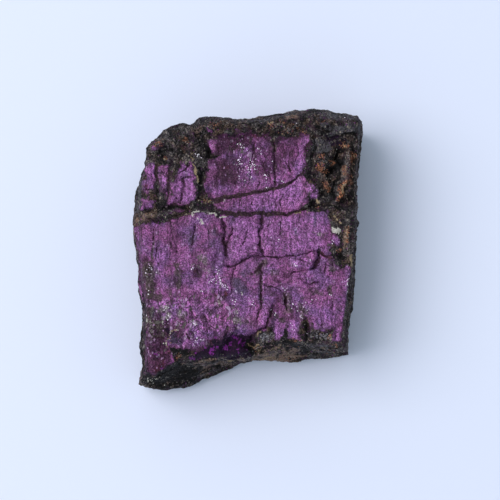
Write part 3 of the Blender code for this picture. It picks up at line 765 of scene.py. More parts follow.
# What is drawn on the stone as colour alone: size is how strongly it shows
LILAC = (
    Area(0.8, 0.8, (-1.5, 1.8, 0.8, 1.9, 0.7, -1.1, -0.8, -1.8, -1.8, -1.9)),
    Area(0.6, 0.8, (1.2, 1.9, 3.8, 1.8, 6.4, 2, 6.9, 1, 6.4, -1, 3.5, -1.4, 1.3, -1.3)),
    Area(0.6, 0.5, (-1.2, 3.5, 1.8, 4.2, 4.8, 5.4, 5, 4, 4, 2.7, 1.8, 2.5, -1.2, 2.6)),
    Area(1, 0.5, (-6.6, 5.4, -4.8, 5.4, -4.7, 3.3, -6.9, 3.3, -6.6, 4.2)),
    Area(0.4, 0.9, (5, -5.6, 8.5, -5.6, 8.2, -8.2, 5.2, -8.2)),
    Area(0.2, 0.9, (3.6, -3.4, 8.6, -2.9, 8.4, -5.4, 3.4, -4.8)),
    Line(1, 0.2, (8.55, -3.3, 8.5, -5.2)),
    Line(1, 0.3, (-7.5, 5.5, -7.55, 5.2)),
    *strokes(1, 0.4, (2.3, -6.5, 2.4, -7.8, 2.5, -8.8), (7.6, -8.3, 7.6, -9)),
    *strokes(1, 0.5, (-8.6, 6.6, -8.75, 5), (4.8, 9, 4.7, 7.2, 4.4, 6.3), (-1.5, -5.6, -1.1, -5.8)),
    *strokes(1, 0.6, (-0.3, -5.5, 0.2, -5.7), (3.8, -7.6, 3.8, -8.6)),
    Line(1, 0.8, (-8.3, -5.9, -7.5, -5.6)),
    *strokes(0.8, 0.3, (3, -4.2, 3, -4.5), (7.75, 0.2, 7.35, -0.4)),
    *strokes(0.8, 0.4, (-6.75, -4.6, -6.5, -5.3), (1.35, -6.2, 1.1, -7.6)),
    *strokes(0.8, 0.6, (5.5, 4.4, 5.7, 4), (4.1, -2.1, 5.3, -2.3)),
    Line(0.8, 0.8, (-4.6, -8, -4.3, -8.9)),
    *strokes(0.6, 0.3, (-6.05, 6.8, -6.1, 6.3), (-7.75, 6.4, -7.6, 6), (-3.5, 9.75, -3.3, 9.5)),
    *strokes(0.6, 0.4, (-5.4, 6.6, -5.2, 5.9), (-7.7, -0.6, -7.75, -2.4, -7.7, -4.6),
        (-9.2, 0.9, -9.1, -0.8)),
    *strokes(0.6, 0.5, (1.3, 8.8, 1.3, 8.4), (-0.6, 8.6, -0.4, 8.1), (-9.2, 3.5, -9, 3)),
    *strokes(0.6, 0.6, (3.6, 7.8, 3.3, 6.2), (-2.9, 4.3, -2.2, 4.3), (-1.1, 4.3, -0.6, 4.9),
        (-3.1, 6.7, -3.1, 6.2), (0.6, 4.8, 1.8, 4.9), (-0.7, -2.6, 0.2, -2.2)),
    *strokes(0.6, 0.8, (-5.8, -1.4, -5.5, -2.2), (1.9, -2.2, 2.8, -2.2), (-0.6, -6.3, 0.3, -6.8),
        (0.9, 7, 1.6, 7.2), (-3.4, -0.6, -3, -1.8)),
    *strokes(0.6, 1, (-4.8, -5.6, -4.2, -6.4), (-3.2, -6.8, -2.8, -7.6), (-3.4, -3.6, -3.2, -4.6),
        (-4.9, -4, -4, -4.4)),
    Line(0.4, 0.4, (-3.4, 8.4, -3.3, 8.1)),
)
PLUM = (
    Area(0.8, 0.8, (-3.6, 9.9, -3.2, 8.9, -1.8, 8.7, -0.6, 9, 1, 9.1, 2.6, 8.5, 4, 8.8, 5.4, 9.3, 5.4, 10)),
    Area(1, 0.8, (-10.2, -12.2, -10.2, -8.9, -7.4, -8.8, -7, -10.2, -7.4, -11.8, -9, -12.2)),
    Area(0.8, 1, (-3.4, 4.6, -3.2, 7.2, -1, 7.8, -0.4, 6.2, -1.2, 4.8)),
    Area(0.6, 1, (0.2, 8.8, 3.8, 8.8, 4.2, 6.6, 2.6, 5.6, 0.2, 5.4)),
    Area(1, 0.9, (-3.1, 7.5, -2.6, 9.4, 0.3, 9.5, 0.4, 8.2, -1.2, 7.8)),
    Area(0.6, 0.5, (0.5, 9.4, 2.3, 9.3, 2.6, 8.2, 2.1, 7.9, 1.8, 8.6, 0.7, 8.6)),
    Area(1, 1.2, (-9.6, -5.6, -8.2, -6.2, -7.4, -7.2, -6.2, -8.2, -6.2, -9.3, -9.6, -9)),
    Area(1, 0.5, (-5.2, -9.5, -3.6, -9.2, -2.4, -8.8, -1.8, -8.2, -2.2, -10.5, -5.2, -10.6)),
    Line(1, 0.4, (-7, -0.1, -6.95, -0.6)),
    *strokes(1, 0.8, (-10, 2.6, -9.9, 0, -9.8, -3, -9.4, -5.4, -9.4, -8.6, -9.4, -11.8),
        (-8.5, -9.2, -8.3, -10.6)),
    Line(1, 1, (-7.7, -9.2, -7.6, -11)),
    Line(0.8, 0.3, (-5.9, -2.8, -5.6, -2.7)),
    *strokes(0.8, 0.5, (-2.3, 0.3, -2.2, -0.6), (-2, -8, -2.4, -8.8)),
    Line(0.8, 0.6, (1.95, -5.9, 1.9, -7)),
    *strokes(0.8, 0.8, (-9.1, -8.9, -9, -11), (-9.3, -1.8, -8.8, -3.4, -8.9, -5.2)),
    Line(0.6, 0.3, (-6.9, 2.5, -5.9, 2.65)),
    *strokes(0.6, 0.4, (-3.4, 1.2, -3.2, 0.9), (-4.4, -7, -4, -6.8), (-3.3, -6.3, -3, -6),
        (-7, -1.6, -7, -4.2)),
    *strokes(0.6, 0.5, (1.4, -4.6, 2.3, -5.4), (2.7, 6.8, 2.9, 5.6), (-3.1, 0.6, -2.6, 0.2),
        (3.4, -6.9, 4.2, -7.1), (-6.7, 6.2, -6.9, 5.4)),
    *strokes(0.6, 0.6, (2.8, 8.9, 3.9, 8.7, 3.9, 7.6), (2, -3.8, 2.8, -4.2), (-6.8, -3.4, -6.5, -4),
        (-4.8, -3.2, -4.4, -2.8)),
    *strokes(0.6, 0.8, (-9.5, -3, -9.3, -5.6), (-2.8, -4.9, -2, -5), (-7, -7.9, -6.2, -8)),
)
BLUE = (
    Area(1, 0.4, (0.5, -8.3, 1.4, -8.1, 2.1, -8.3, 2.1, -9, 0.9, -9.2)),
    Line(1, 0.3, (5.7, 1.9, 5.65, 1.2)),
    Line(1, 0.6, (-6.8, -8.9, -6.3, -9.1)),
    Line(1, 0.8, (-1.2, -4, -0.7, -4.6)),
    *strokes(0.8, 0.3, (4.2, 0.75, 4.2, 0.5), (2.9, -0.9, 3, -1.1)),
    Line(0.8, 0.4, (-7.15, 5, -7.2, 4.5)),
    *strokes(0.6, 0.4, (2.1, -6.4, 2, -7.6), (-4.3, 7.6, -4.2, 6.6)),
    *strokes(0.6, 0.5, (-6.7, -8.3, -6.7, -8.6), (-1.4, 7, -1.8, 7.4), (4.9, -6.2, 4.7, -6.8)),
    *strokes(0.6, 0.6, (-0.4, -2.7, -0.7, -3), (-8.6, -6.4, -8.3, -6.9), (-0.9, 5, -0.2, 5.2)),
    *strokes(0.6, 0.8, (-3.3, -0.4, -3.4, 0.6), (-5, 0.2, -5.2, -0.8)),
)
OLIVE = (
    *strokes(1, 0.3, (-8.1, 7, -8.1, 4.4), (2.2, -6.6, 2.9, -7.4)),
    *strokes(1, 0.4, (6.9, -4.3, 7.1, -4.8), (4.5, -7.4, 4.6, -8.4)),
    *strokes(1, 0.5, (1.4, -2.1, 1, -2.5, 0.4, -2.8), (-6.35, -2.2, -6.3, -4.1)),
    *strokes(1, 0.6, (-9, -4.8, -8, -5.1), (3.1, -5.2, 3.2, -6.6), (-7.8, 3.9, -7.5, 3.3)),
    Line(1, 1, (-8.9, -2.3, -8.8, -4.4)),
    Line(0.8, 0.2, (0.95, -2.9, 0.95, -4.4, 0.95, -6)),
    Line(0.8, 0.3, (-8.4, -0.2, -8.6, -1.6)),
    *strokes(0.8, 0.4, (2.4, 9, 2.4, 7.6), (-9.3, -8.3, -7.6, -8.5)),
    *strokes(0.8, 0.6, (2, -3.1, 2.3, -3.3), (-2.5, -5.3, -2.6, -5.9), (4.2, -6, 4.6, -6.9)),
    Line(0.8, 0.8, (-8.6, -7.1, -7.8, -8)),
    *strokes(0.6, 0.3, (-6.85, 7, -6.9, 5.8), (0.2, -2.9, -0.6, -3.2), (-7.2, -3, -7.2, -4.9),
        (2.3, 6.4, 2.3, 5), (-4.9, -2.8, -4.6, -3.3), (4.6, -5.4, 5.2, -5.2)),
    *strokes(0.6, 0.4, (-3.6, -6.2, -3.4, -6.6), (5.9, 0.5, 6.6, 0.3)),
    *strokes(0.6, 0.5, (-7, -7.6, -5.8, -7.6), (-0.4, 8, -1.4, 8.2), (-1.2, -7, 0.1, -7.6),
        (7.1, -2.2, 7.3, -2.7), (5.2, -4.6, 6.2, -4.8)),
    Line(0.6, 0.6, (-6.2, -6.2, -5.9, -7)),
    Line(0.6, 0.8, (-9, -6, -9.2, -7.8)),
    Line(0.4, 1, (-2.2, 5.9, -1.7, 5.6)),
)
CRIMSON = (
    *strokes(1, 0.2, (2.6, -9.2, 2.9, -9.2), (7.25, 4.5, 7.3, 4), (-9.1, 4.9, -8.95, 4.75)),
    *strokes(1, 0.3, (-2.4, -4.7, -2.2, -4.9), (-3.1, -5, -2.8, -5.3), (6.1, -1.4, 6.6, -1.7, 7.3, -1.75)),
    Line(0.8, 0.2, (-2.6, -3.3, -2.5, -3.5)),
    Line(0.8, 0.3, (6.1, -1.8, 6, -2.1)),
    Line(0.6, 0.2, (-5.4, -3, -4.6, -2.9)),
    *strokes(0.6, 0.3, (-3.3, 3, -2.6, 3.1), (-4, -9.1, -3.4, -9.3), (1.3, 2, 1.2, 1.5)),
    Line(0.6, 0.4, (-2.2, 6.3, -1.5, 6.6)),
    Line(0.6, 0.5, (0.4, 9.3, 1.6, 9.3)),
    *strokes(0.6, 0.6, (-7, -9.9, -6.3, -9.8), (-5.6, -10.3, -5, -10), (-4.2, -9.8, -3.2, -10.1)),
    Line(0.6, 0.8, (-7.9, -10.8, -8.3, -11.3)),
)
VIOLET = (
    Area(1, 0.5, (
        -4.9, -10.5, -4.6, -9.9, -3.9, -9.5, -3.1, -9.1, -2.4, -9, -2.1, -8.5, -1.5, -8.3, -0.8, -8.35,
        -0.3, -8.2, 0.2, -8.35, 0.35, -9.2, 0.2, -10.3,
    )),
    *strokes(0.8, 0.6, (-8.5, -12.3, -7.6, -12.7), (-4.4, -10.1, -3, -10.2)),
    Line(0.6, 0.3, (-2.2, -8.3, -2.3, -8.7)),
    *strokes(0.6, 0.4, (-7.4, -8.1, -7.1, -8.3), (7.4, 8.5, 8.2, 8.4)),
    Line(0.5, 0.5, (6.8, 8.9, 8.6, 8.8)),
)
BLOOM = (
    *strokes(1, 0.2, (-0.3, -9.8), (-4.6, -9.9)),
    *strokes(1, 0.25, (-8.4, -10.1), (-1.4, -9.8), (-4, -9.5), (-3.3, -10.1), (-1.3, -8.7), (-8, -11.2)),
    *strokes(1, 0.3, (-0.75, -9.35), (-3.6, -9.9), (-5, -10.35), (-7.6, -12.5), (-0.9, -8.85),
        (-1.9, -9.2), (-2.4, -9.6), (-3, -9.5), (-2.9, -8.9)),
    *strokes(1, 0.4, (-1.5, -8.6), (-0.4, -9), (-1, -9), (-2.2, -9.4), (-3.4, -9.7)),
)
FILM = (
    Area(0.6, 0.4, (0.5, -8.3, 1.4, -8.1, 2.1, -8.3, 2.1, -9, 0.9, -9.2)),
    *strokes(1, 0.5, (-1.5, -7.3, -0.8, -7.1), (-6.2, -6.3, -5.9, -6.6)),
    Line(1, 0.6, (-4.3, -1.6, -3.9, -1.8)),
    *strokes(0.8, 0.4, (-5.3, -7.4, -5, -7.6), (-1.5, -6.6, -1.2, -6.5), (-2.9, -5.5, -2.6, -5.8)),
    Line(0.8, 0.5, (-7, -6.6, -7.4, -7)),
    Line(0.8, 0.6, (-7.8, -6.1, -7.2, -6.2)),
    *strokes(0.6, 0.4, (5.9, 0.5, 6.3, 0.3), (7.1, -2.7, 7.5, -2.8), (-5.8, -8.2, -5.6, -8.5),
        (-8.3, -2.8, -8.1, -3)),
    *strokes(0.6, 0.5, (-4, -2.5, -3.7, -2.7), (-4.9, -2.4, -4.5, -2.5)),
    *strokes(0.6, 0.6, (5.3, -8.6, 6.8, -8.8), (-8.9, -6.4, -8.5, -7.8)),
)
RUST = (
    Line(1, 0.4, (7.4, 6.8, 7.6, 6.5)),
    *strokes(1, 0.5, (8.5, 4.9, 8.2, 4.3, 7.95, 3.5), (8.3, 8.2, 8.7, 8.3), (6.8, 4.9, 7, 4.4),
        (9.2, 7.5, 9.2, 6.9), (3.3, -10.3, 3.7, -10.5)),
    Line(1, 0.6, (6.3, 6.3, 6.7, 6.1)),
    Line(0.8, 0.2, (-9, 4.95, -9, 4.75)),
    Line(0.8, 0.3, (-7.3, 7.6, -7.2, 7.5)),
    Line(0.8, 0.4, (9.1, 5.4, 9.1, 4.8)),
    Line(0.8, 0.5, (8.6, 0.7, 8.7, -0.2)),
    *strokes(0.6, 0.3, (0.5, -9.4, 0.7, -9.5), (7.3, -9.4, 7.8, -9.5), (4.3, -10.5, 4.5, -10.5),
        (-7, -9, -7.2, -9.4), (3.9, -9, 4.3, -9)),
    *strokes(0.6, 0.4, (8.1, -0.9, 7.9, -1.1), (6, 2.9, 6.2, 2.8), (-4, 3.4, -3.6, 3.3),
        (6.8, -8.6, 6.9, -8.9)),
    *strokes(0.6, 0.5, (6.3, 7.3, 6.7, 7.1), (-5.6, 9, -5.3, 8.8), (8.5, 6.4, 8.7, 5.7),
        (-6.5, -10.3, -6, -10.1), (-8.6, 8.4, -7.8, 8.6)),
    *strokes(0.4, 0.4, (2.8, 10.4, 3.2, 10.2), (3.4, 10.8, 4.2, 10.6)),
    *strokes(0.4, 0.5, (-9.4, 2.2, -8.6, 2.1), (6.3, 10.5, 6.9, 10.4)),
    *strokes(0.4, 0.6, (3.2, 9.6, 4.2, 9.8, 4.8, 9.5), (1.8, 10.1, 2.6, 9.8), (-3.4, 10, -2.4, 10.2)),
)
BLACK = (
    Area(0.8, 0.8, (-7.2, -10.9, -4.6, -10.9, -3, -11.2, -4.6, -12.6, -9.4, -13.2, -9.4, -12.2)),
    *strokes(1, 0.2, (8.2, 9.15, 9, 9.35, 9.6, 9.25), (0.4, -9.45, 2.6, -9.3, 4.4, -9.45, 5, -9.75)),
    *strokes(1, 0.3, (7.6, 6, 7, 5.7), (7.95, -1.5, 8.35, -1.7), (8.2, 7, 8.3, 6.6), (7.3, 5.4, 7.2, 5.1),
        (5.4, 3.1, 5.8, 2.95)),
    *strokes(1, 0.4, (8.5, 8, 8, 7.6, 7.8, 7.1, 8.2, 6.7, 7.7, 6.2, 7.1, 5.8, 6.9, 5.5),
        (8, 7.5, 7.8, 7.1), (-3.7, 8.3, -3.6, 7.4)),
    Line(1, 0.5, (-0.1, -8.8, 0.05, -9.8)),
    Line(0.8, 0.13, (0.6, -9.8, 2, -9.75, 3.4, -10)),
    *strokes(0.8, 0.2, (4.85, -7.4, 4.95, -8.2, 4.8, -9), (5, -9.75, 6.4, -9.65, 7.4, -9.95, 8.2, -9.7)),
    *strokes(0.8, 0.25, (7.3, 4.2, 7.5, 3.7), (6.6, 9.65, 7.4, 9.6),
        (-5.6, -11.25, -3.9, -10.9, -2.4, -10.7, -0.4, -10.6)),
    *strokes(0.8, 0.3, (8.2, 6.6, 8.1, 5.8, 7.8, 5.2, 7.5, 4.6, 7.5, 3.6),
        (5.1, 3, 5.7, 2.9, 6.6, 3, 7.6, 2.8, 8.6, 2.5), (6, 9.9, 6.2, 9.6), (3.6, 10.3, 4.1, 10.4),
        (0.3, -10.3, 0.6, -10.6), (3.4, -10.2, 4, -10.4, 4.6, -10.3), (-3.2, 7.4, -2.8, 7.5),
        (-6.6, -11.1, -5.8, -11.2), (6.5, 5.2, 6.3, 4.6, 6.5, 3.9), (8.7, 4, 8.9, 3.2),
        (6.15, -1.15, 6, -1.5, 6.05, -1.9), (-7.9, 2.55, -7, 2.95, -5.6, 2.85)),
    *strokes(0.8, 0.4, (-4.3, 6.4, -4.1, 4.4), (9.1, 8.6, 9.35, 6.6, 9.2, 3.4)),
    Line(0.8, 0.5, (-6.9, -9.8, -5.4, -9.75)),
    Line(0.6, 0.13, (4.9, -10.3, 6.6, -10.15, 7.8, -10.35)),
    *strokes(0.6, 0.3, (-1.6, 10.1, 0.4, 10.2, 1.4, 9.9), (5.6, 9, 5.9, 8.2, 5.7, 7.2),
        (-8.2, 7.6, -7, 8, -6.2, 7.4)),
    *strokes(0.6, 0.4, (-4.6, 9.4, -4.4, 8.4), (3, -8.3, 3.1, -9)),
    *strokes(0.6, 0.5, (-10.25, 6, -10.3, 2.6, -10.2, 0, -10, -3, -9.7, -5.4),
        (-9.3, 6.8, -8.9, 8.6, -7.7, 9.9, -6.2, 10.4, -4.9, 10.6, -4.2, 11.1, -1, 11)),
    Line(0.6, 0.6, (-6.8, 8.2, -6, 7.8)),
    Line(0.6, 0.8, (-9.5, -5.6, -9.4, -8.6, -9.45, -12)),
)
PALE = (
    Area(1, 0.2, (
        7.15, 0.6, 7.35, 0.92, 7.65, 0.85, 7.85, 1.05, 8.1, 0.9, 7.95, 0.62, 7.9, 0.35, 7.6, 0.5, 7.4, 0.36,
    )),
    *strokes(1, 0.13, (-3.95, 2.35, -3.5, 2.3, -3.1, 2.4, -2.8, 2.2, -2.5, 2.15, -2.1, 1.98),
        (-5, 2.2, -4.8, 2.45, -4.5, 2.5, -4.1, 2.5), (-6.95, -6.55, -7.15, -6.8, -7.45, -7.05),
        (-7.72, -7.25, -7.75, -7.4), (-0.8, -4.95, -0.7, -4.9)),
    Line(1, 0.2, (-4.35, 1.65, -4.15, 1.5)),
    *strokes(0.8, 0.13, (1.15, 10.35), (-6.4, -7.9, -6.9, -8, -7.05, -8.4), (-7.2, -8.9, -7.3, -9.4),
        (-7.5, -5.9, -7.2, -6), (-1.3, -6.55, -1.2, -6.7), (-2.95, -5.6, -2.85, -5.65),
        (7.85, 7.75, 7.9, 7.6), (-5.4, 8.65), (-8.7, -7.1), (-2.2, 3.4), (-4.5, 2, -4.35, 1.8),
        (-9.2, -6.95, -9, -7.05)),
    Line(0.6, 0.13, (-7.6, -6.15, -7.5, -6.2)),
    *strokes(0.5, 0.13, (-5.25, 2.9, -5.2, 2.8), (-4.4, 3.2, -4.4, 3.1)),
    Line(0.4, 0.25, (-9.2, -11.9, -8.6, -12.1, -7.8, -12)),
)
TAN = (
    *strokes(1, 0.13, (-6.45, -7.9, -6.8, -8, -7, -8.4, -7.1, -8.7, -7.3, -9.2, -7.25, -9.5),
        (7.6, 1.85, 8.15, 1.3), (-4.8, 6.9, -4.65, 6.3, -4.5, 5.7, -4.35, 5.1)),
    *strokes(0.8, 0.13, (-6.3, -10.1, -6.2, -10.2), (0.9, -9.75, 2.3, -9.6, 3.3, -9.75), (-6.35, -10.6),
        (-5.45, -10), (1.8, -10.25, 2.8, -10.15), (2.4, -10.6, 3, -10.75)),
    *strokes(0.8, 0.2, (4.2, 2.1, 4.5, 2.25), (8.8, -1.5, 8.85, -2.1, 8.85, -2.7), (0.2, -9.1, 0.6, -9.4),
        (0.5, -8.3, 0.7, -8.2), (5.1, 2.4, 5.3, 2.3), (-7.4, 7.6, -7.25, 7.4), (5.9, 3.4, 6.1, 3.2)),
    Line(0.8, 0.25, (2, 10.3, 2.4, 10.2)),
    Line(0.8, 0.3, (8.45, 4.7, 8.2, 4)),
    *strokes(0.6, 0.13, (-4.4, -10.65, -3.2, -10.45, -2.4, -10.35), (-1.6, -10.5, -0.4, -10.3),
        (5.3, -10, 6.8, -9.95)),
    *strokes(0.6, 0.2, (-3.8, 3.4, -3.6, 3.5), (3.1, 9.6, 3.2, 9.4), (6.1, -8.3, 6, -8.6)),
    *strokes(0.6, 0.25, (9.2, 7.2, 9.25, 7), (8.5, 8.3, 8.6, 8.1), (8.6, 0.5, 8.65, 0.2)),
    Line(0.5, 0.3, (-4.9, 7.6, -4.8, 7.1)),
)
EARTH = (
    Area(1, 0.5, (0.4, -9.5, 2.4, -9.3, 3.4, -9.5, 4.3, -9.9, 4.5, -10.6, 3.8, -11.5, 0.5, -11.5)),
    Area(0.4, 0.5, (4.8, -9.5, 8.2, -9.6, 8.2, -11, 4.8, -11)),
    *strokes(0.6, 0.2, (-6.9, -11.75, -5.4, -11.05, -4, -10.65, -3, -10.5, -0.4, -10.35),
        (-9.4, -12.05, -8.2, -12.15, -7.2, -12, -6.4, -11.75), (-5.2, -11.1, -3.6, -10.8, -2.4, -10.5)),
    Line(0.6, 0.5, (3.5, 10.7, 4.3, 10.7)),
    *strokes(0.6, 0.6, (8.5, 0.8, 8.5, -0.6), (8.4, 6.2, 8.8, 5.4), (-9.5, 2.1, -8.5, 2.1)),
    Line(0.4, 0.3, (-2.2, -10.35, -0.6, -10.3)),
)
SLATE = (
    Area(1, 0.5, (5.5, 8.9, 5.6, 7.7, 6.6, 7.5, 7.5, 7.9, 7.6, 8.7, 6.6, 9)),
    *strokes(1, 0.2, (4.9, -9.9, 6.4, -9.85, 7.4, -10.1, 8.3, -9.95),
        (4.9, -10.5, 6.8, -10.4, 8.2, -10.3), (0.8, -10, 2.2, -9.95, 3.2, -10.05)),
    Line(1, 0.3, (7.2, 9.2, 8.4, 9.4, 9.6, 9.5)),
    Line(1, 0.5, (6.6, 9.95, 8.2, 9.75, 9.7, 9.8)),
    Line(0.8, 0.4, (-9.9, 3, -9.75, 5, -9.5, 6)),
    Line(0.8, 0.5, (6.6, 10.9, 8, 10.7, 9.6, 10.6)),
    Line(0.6, 0.2, (-3.6, -10.7, -2, -10.5, -0.3, -10.4)),
    *strokes(0.6, 0.3, (5, -9.5, 6.6, -9.4, 7.2, -9.6), (-9.3, -12.5, -8, -12.6, -6.6, -12.5)),
    Line(0.4, 0.6, (-1.6, 10.6, 0.6, 10.5, 2.4, 10.8, 4.6, 11.2)),
)
CRUMBLY = (
    Area(0.9, 1.2, (-9.6, -5.4, -3.6, -4.6, -1.2, -6.2, -0.6, -8.2, -3, -9.2, -7.2, -9.4, -9.6, -8.4)),
    Area(1, 0.6, (5.4, 8.6, 9.4, 8.4, 9.3, 2.6, 5.4, 2.6)),
    Line(1, 0.6, (3.2, -5.6, 4.6, -6.4)),
    *strokes(1, 1, (-3.2, -3.2, -2.6, -5), (-3.2, -9.6, -0.6, -9.4)),
    *strokes(0.9, 0.6, (-7.5, 5.8, -7.3, 4), (4.1, -2.2, 5.2, -2.3)),
    *strokes(0.9, 0.8, (-7.8, -10, -6, -10.2), (5.4, -8.7, 6.8, -8.8)),
    Line(0.9, 1.6, (-0.6, 8.4, 0.2, 6.4)),
    Line(0.5, 1, (-8.6, -9.4, -8, -10.8)),
)
SPARKLE = (
    *strokes(1, 0.2, (2.2, 0.2, 2.7, -0.1), (1.15, 5.4, 1.75, 5.8), (1.7, 6.8), (8.6, 10.7),
        (-8.4, -2.75), (-9.2, -6.7), (5, -8.3), (2.15, 6.8), (2.25, 5.3), (-4.5, 7.7, -4.2, 7.2),
        (4.15, 10.3, 4.2, 10.1), (-9.1, -4.3), (-5.3, -7.4, -5, -7.6), (5.3, -2.1), (5.2, 0, 5.4, -0.1)),
    *strokes(1, 0.3, (0, 5.9, 0.1, 5.7), (2.95, 5.1), (1.4, 4.7, 1.7, 4.6),
        (-2.75, -2.8, -2.6, -3.1, -2.8, -3.3, -2.55, -3.6, -2.75, -3.9, -2.4, -4.4), (-2.1, -4.2),
        (-1.1, -4.5), (0.9, 8.3, 1, 7.9), (-0.1, 7.7), (-1, 7.3), (-4.4, -4.6, -4, -4.3),
        (7.2, -0.1, 7.4, -0.5), (-1.4, -5.5, -1.2, -5.9)),
    *strokes(1, 0.4, (-0.4, 8.1), (-0.8, 8.8, -0.6, 8.5), (-0.7, 6.8, -0.8, 6.3), (-0.6, 5.2, -0.3, 5.1),
        (-3.4, -3.9, -3.1, -4), (-0.2, -5.4, 0.1, -5.7)),
    *strokes(1, 0.5, (0.1, 7, 0, 6.3), (0.4, 6.7, 0.8, 6.4)),
    *strokes(0.5, 0.2, (8.55, -3.7, 8.5, -4.7), (-9, -3.2, -9.4, -3.9)),
    *strokes(0.5, 0.3, (7.1, -5.1, 7.3, -5.2), (-8.8, -2.4, -8.75, -2.8), (-4.4, -9, -4.9, -9.2),
        (2, -6.1, 2.1, -6.5), (-7.6, -7.3, -7.1, -6.7), (4.6, -6, 4.8, -6.2), (4.5, -6.7, 4.7, -6.9),
        (3.55, -7.6, 3.7, -7.9), (4, -2.1, 4.2, -2.3)),
    *strokes(0.5, 0.4, (-5.2, -2.5, -4.7, -2.6), (-7.5, -5.9, -7.2, -6.1), (3.6, -6, 3.8, -6.3),
        (5.5, -5.6, 5.9, -5.45), (3, -4.2, 3, -4.6)),
)

TINTS: dict[Tint, tuple[Line | Area, ...]] = dict(zip(Tint, (
    LILAC, PLUM, BLUE, OLIVE, CRIMSON, VIOLET, BLOOM, FILM, RUST, BLACK, PALE, TAN, EARTH, SLATE, CRUMBLY,
    SPARKLE,
)))


@dataclass(frozen=True)
class Drawing:
    """What is drawn on the stone as colour, as one share a point for each kind."""

    face: Face
    rind: tuple[Area, ...] = RIND
    windows: tuple[Line | Area, ...] = WINDOWS
    tints: dict[Tint, tuple[Line | Area, ...]] = field(default_factory=lambda: TINTS)
    wall_start: float = 0.1
    left_drop: float = 0.7
    wall_sway: float = 1.1
    fading_depths: Point = (4.5, 7.0)
    shallow_depths: Point = (2.0, 3.4)
    shallow: tuple[Tint, ...] = (Tint.VIOLET, Tint.BLOOM)

    def shares(self, places: Field) -> dict[str, Field]:
        """Works out every share from where the points lie.

        Args:
            places: Points of the stone in millimetres on its plan, one row each.

        Returns:
            For each kind of colour, its share at each point.
        """
        x, y, z = places.T
        bent_x, bent_y = self.face.warp(x, y)
        wall = self.wall(x, y, z)
        shares = {"wall": wall, "rind": np.maximum(self.rind_share(places, bent_x, bent_y), wall)}
        torn_x, torn_y = self.torn(places, bent_x, bent_y)
        depth = FACE_HEIGHT - z
        sway = self.wall_sway * smooth(0.6, 3.0, depth)
        torn_x = torn_x + sway * grain(places, (1.5, 1.5, 0.9), 81)
        torn_y = torn_y + 0.5 * sway * grain(places, (1.5, 1.5, 0.9), 83)
        shares["vein"] = self.strongest(self.face.veins, bent_x, bent_y) * (1 - wall)
        cracks = self.strongest(self.face.cracks, bent_x, bent_y)
        hairlines = self.strongest(self.face.hairlines, bent_x, bent_y)
        shares["crack"] = np.maximum(cracks, hairlines) * (1 - wall)
        _, shares["tone"], shares["joint"] = self.face.plates(bent_x, bent_y)
        for tint, marks in self.tints.items():
            fading = self.shallow_depths if tint in self.shallow else self.fading_depths
            shares[tint.value] = self.covered(marks, torn_x, torn_y) * (1 - smooth(*fading, depth))
        return shares

    @staticmethod
    def covered(marks: tuple[Line | Area, ...], x: Field, y: Field) -> Field:
        """Gives the share of whichever mark is the strongest at each place."""
        return np.maximum.reduce([mark.size * mark.share(x, y) for mark in marks])

    @staticmethod
    def names() -> tuple[str, ...]:
        """Gives the names of all the shares."""
        return ("wall", "rind", "vein", "crack", "tone", "joint", *(tint.value for tint in Tint))

    @staticmethod
    def torn(places: Field, x: Field, y: Field) -> tuple[Field, Field]:
        """Tears the plan at two finer scales, so that what is drawn gets ragged edges.

        Args:
            places: Points of the stone, one row each.
            x: The same points' places across the slab, bent.
            y: The same points' places along the slab, bent.

        Returns:
            The torn places.
        """
        for wave, reach, seed in ((0.8, 0.16, 11), (0.28, 0.1, 15)):
            x = x + reach * grain(places, wave, seed)
            y = y + reach * grain(places, wave, seed + 2)
        return x, y

    def strongest(self, lines: tuple[Line, ...], x: Field, y: Field) -> Field:
        """Gives the share of whichever crack is the strongest at each place."""
        return np.maximum.reduce(self.face.broken(lines, x, y))

    def wall(self, x: Field, y: Field, z: Field) -> Field:
        """Tells what belongs to the walls and the underside: 1 there, and 0 on the face.

        Args:
            x: Across the slab.
            y: Along the slab.
            z: Heights.

        Returns:
            The share of wall at each place.
        """
        inside = depth_inside(x, y, BROW.ring())
        left = smooth(8.2, 8.8, -x) * smooth(-7.0, -6.0, -y)
        low = smooth(0.0, 1.2, FACE_HEIGHT - 1.0 - self.left_drop * left - z) * (inside < 1.2)
        return np.maximum(smooth(-0.1, 0.15, self.wall_start - left - inside), np.maximum(low, z < 2.0))

    def rind_share(self, places: Field, bent_x: Field, bent_y: Field) -> Field:
        """Tells how much of the dark rind covers each place of the face.

        Args:
            places: Points of the stone, one row each.
            bent_x: The same points' places across the slab, bent.
            bent_y: The same points' places along the slab, bent.

        Returns:
            The share of rind at each place.
        """
        torn_x, torn_y = self.torn(places, bent_x, bent_y)
        total = self.covered(self.rind, torn_x, torn_y)
        for window in self.windows:
            total *= 1 - window.size * window.share(torn_x, torn_y)
        return total


def in_scene(name: str, data: bpy.types.ID) -> Piece:
    """Puts a mesh, a lamp or a lens in the scene, as an object.

    Args:
        name: What the object is called.
        data: The mesh, lamp or lens.

    Returns:
        The object.
    """
    made = bpy.data.objects.new(name, data)
    bpy.context.scene.collection.objects.link(made)
    return made


def worked_out(carrier: Piece) -> Mesh:
    """Gives the plain mesh that an object's modifiers make, and takes the object away.

    Args:
        carrier: The object.

    Returns:
        The new mesh.
    """
    evaluated = carrier.evaluated_get(bpy.context.evaluated_depsgraph_get())
    made = bpy.data.meshes.new_from_object(evaluated)
    carrier.modifiers.clear()
    bpy.data.objects.remove(carrier)
    return made


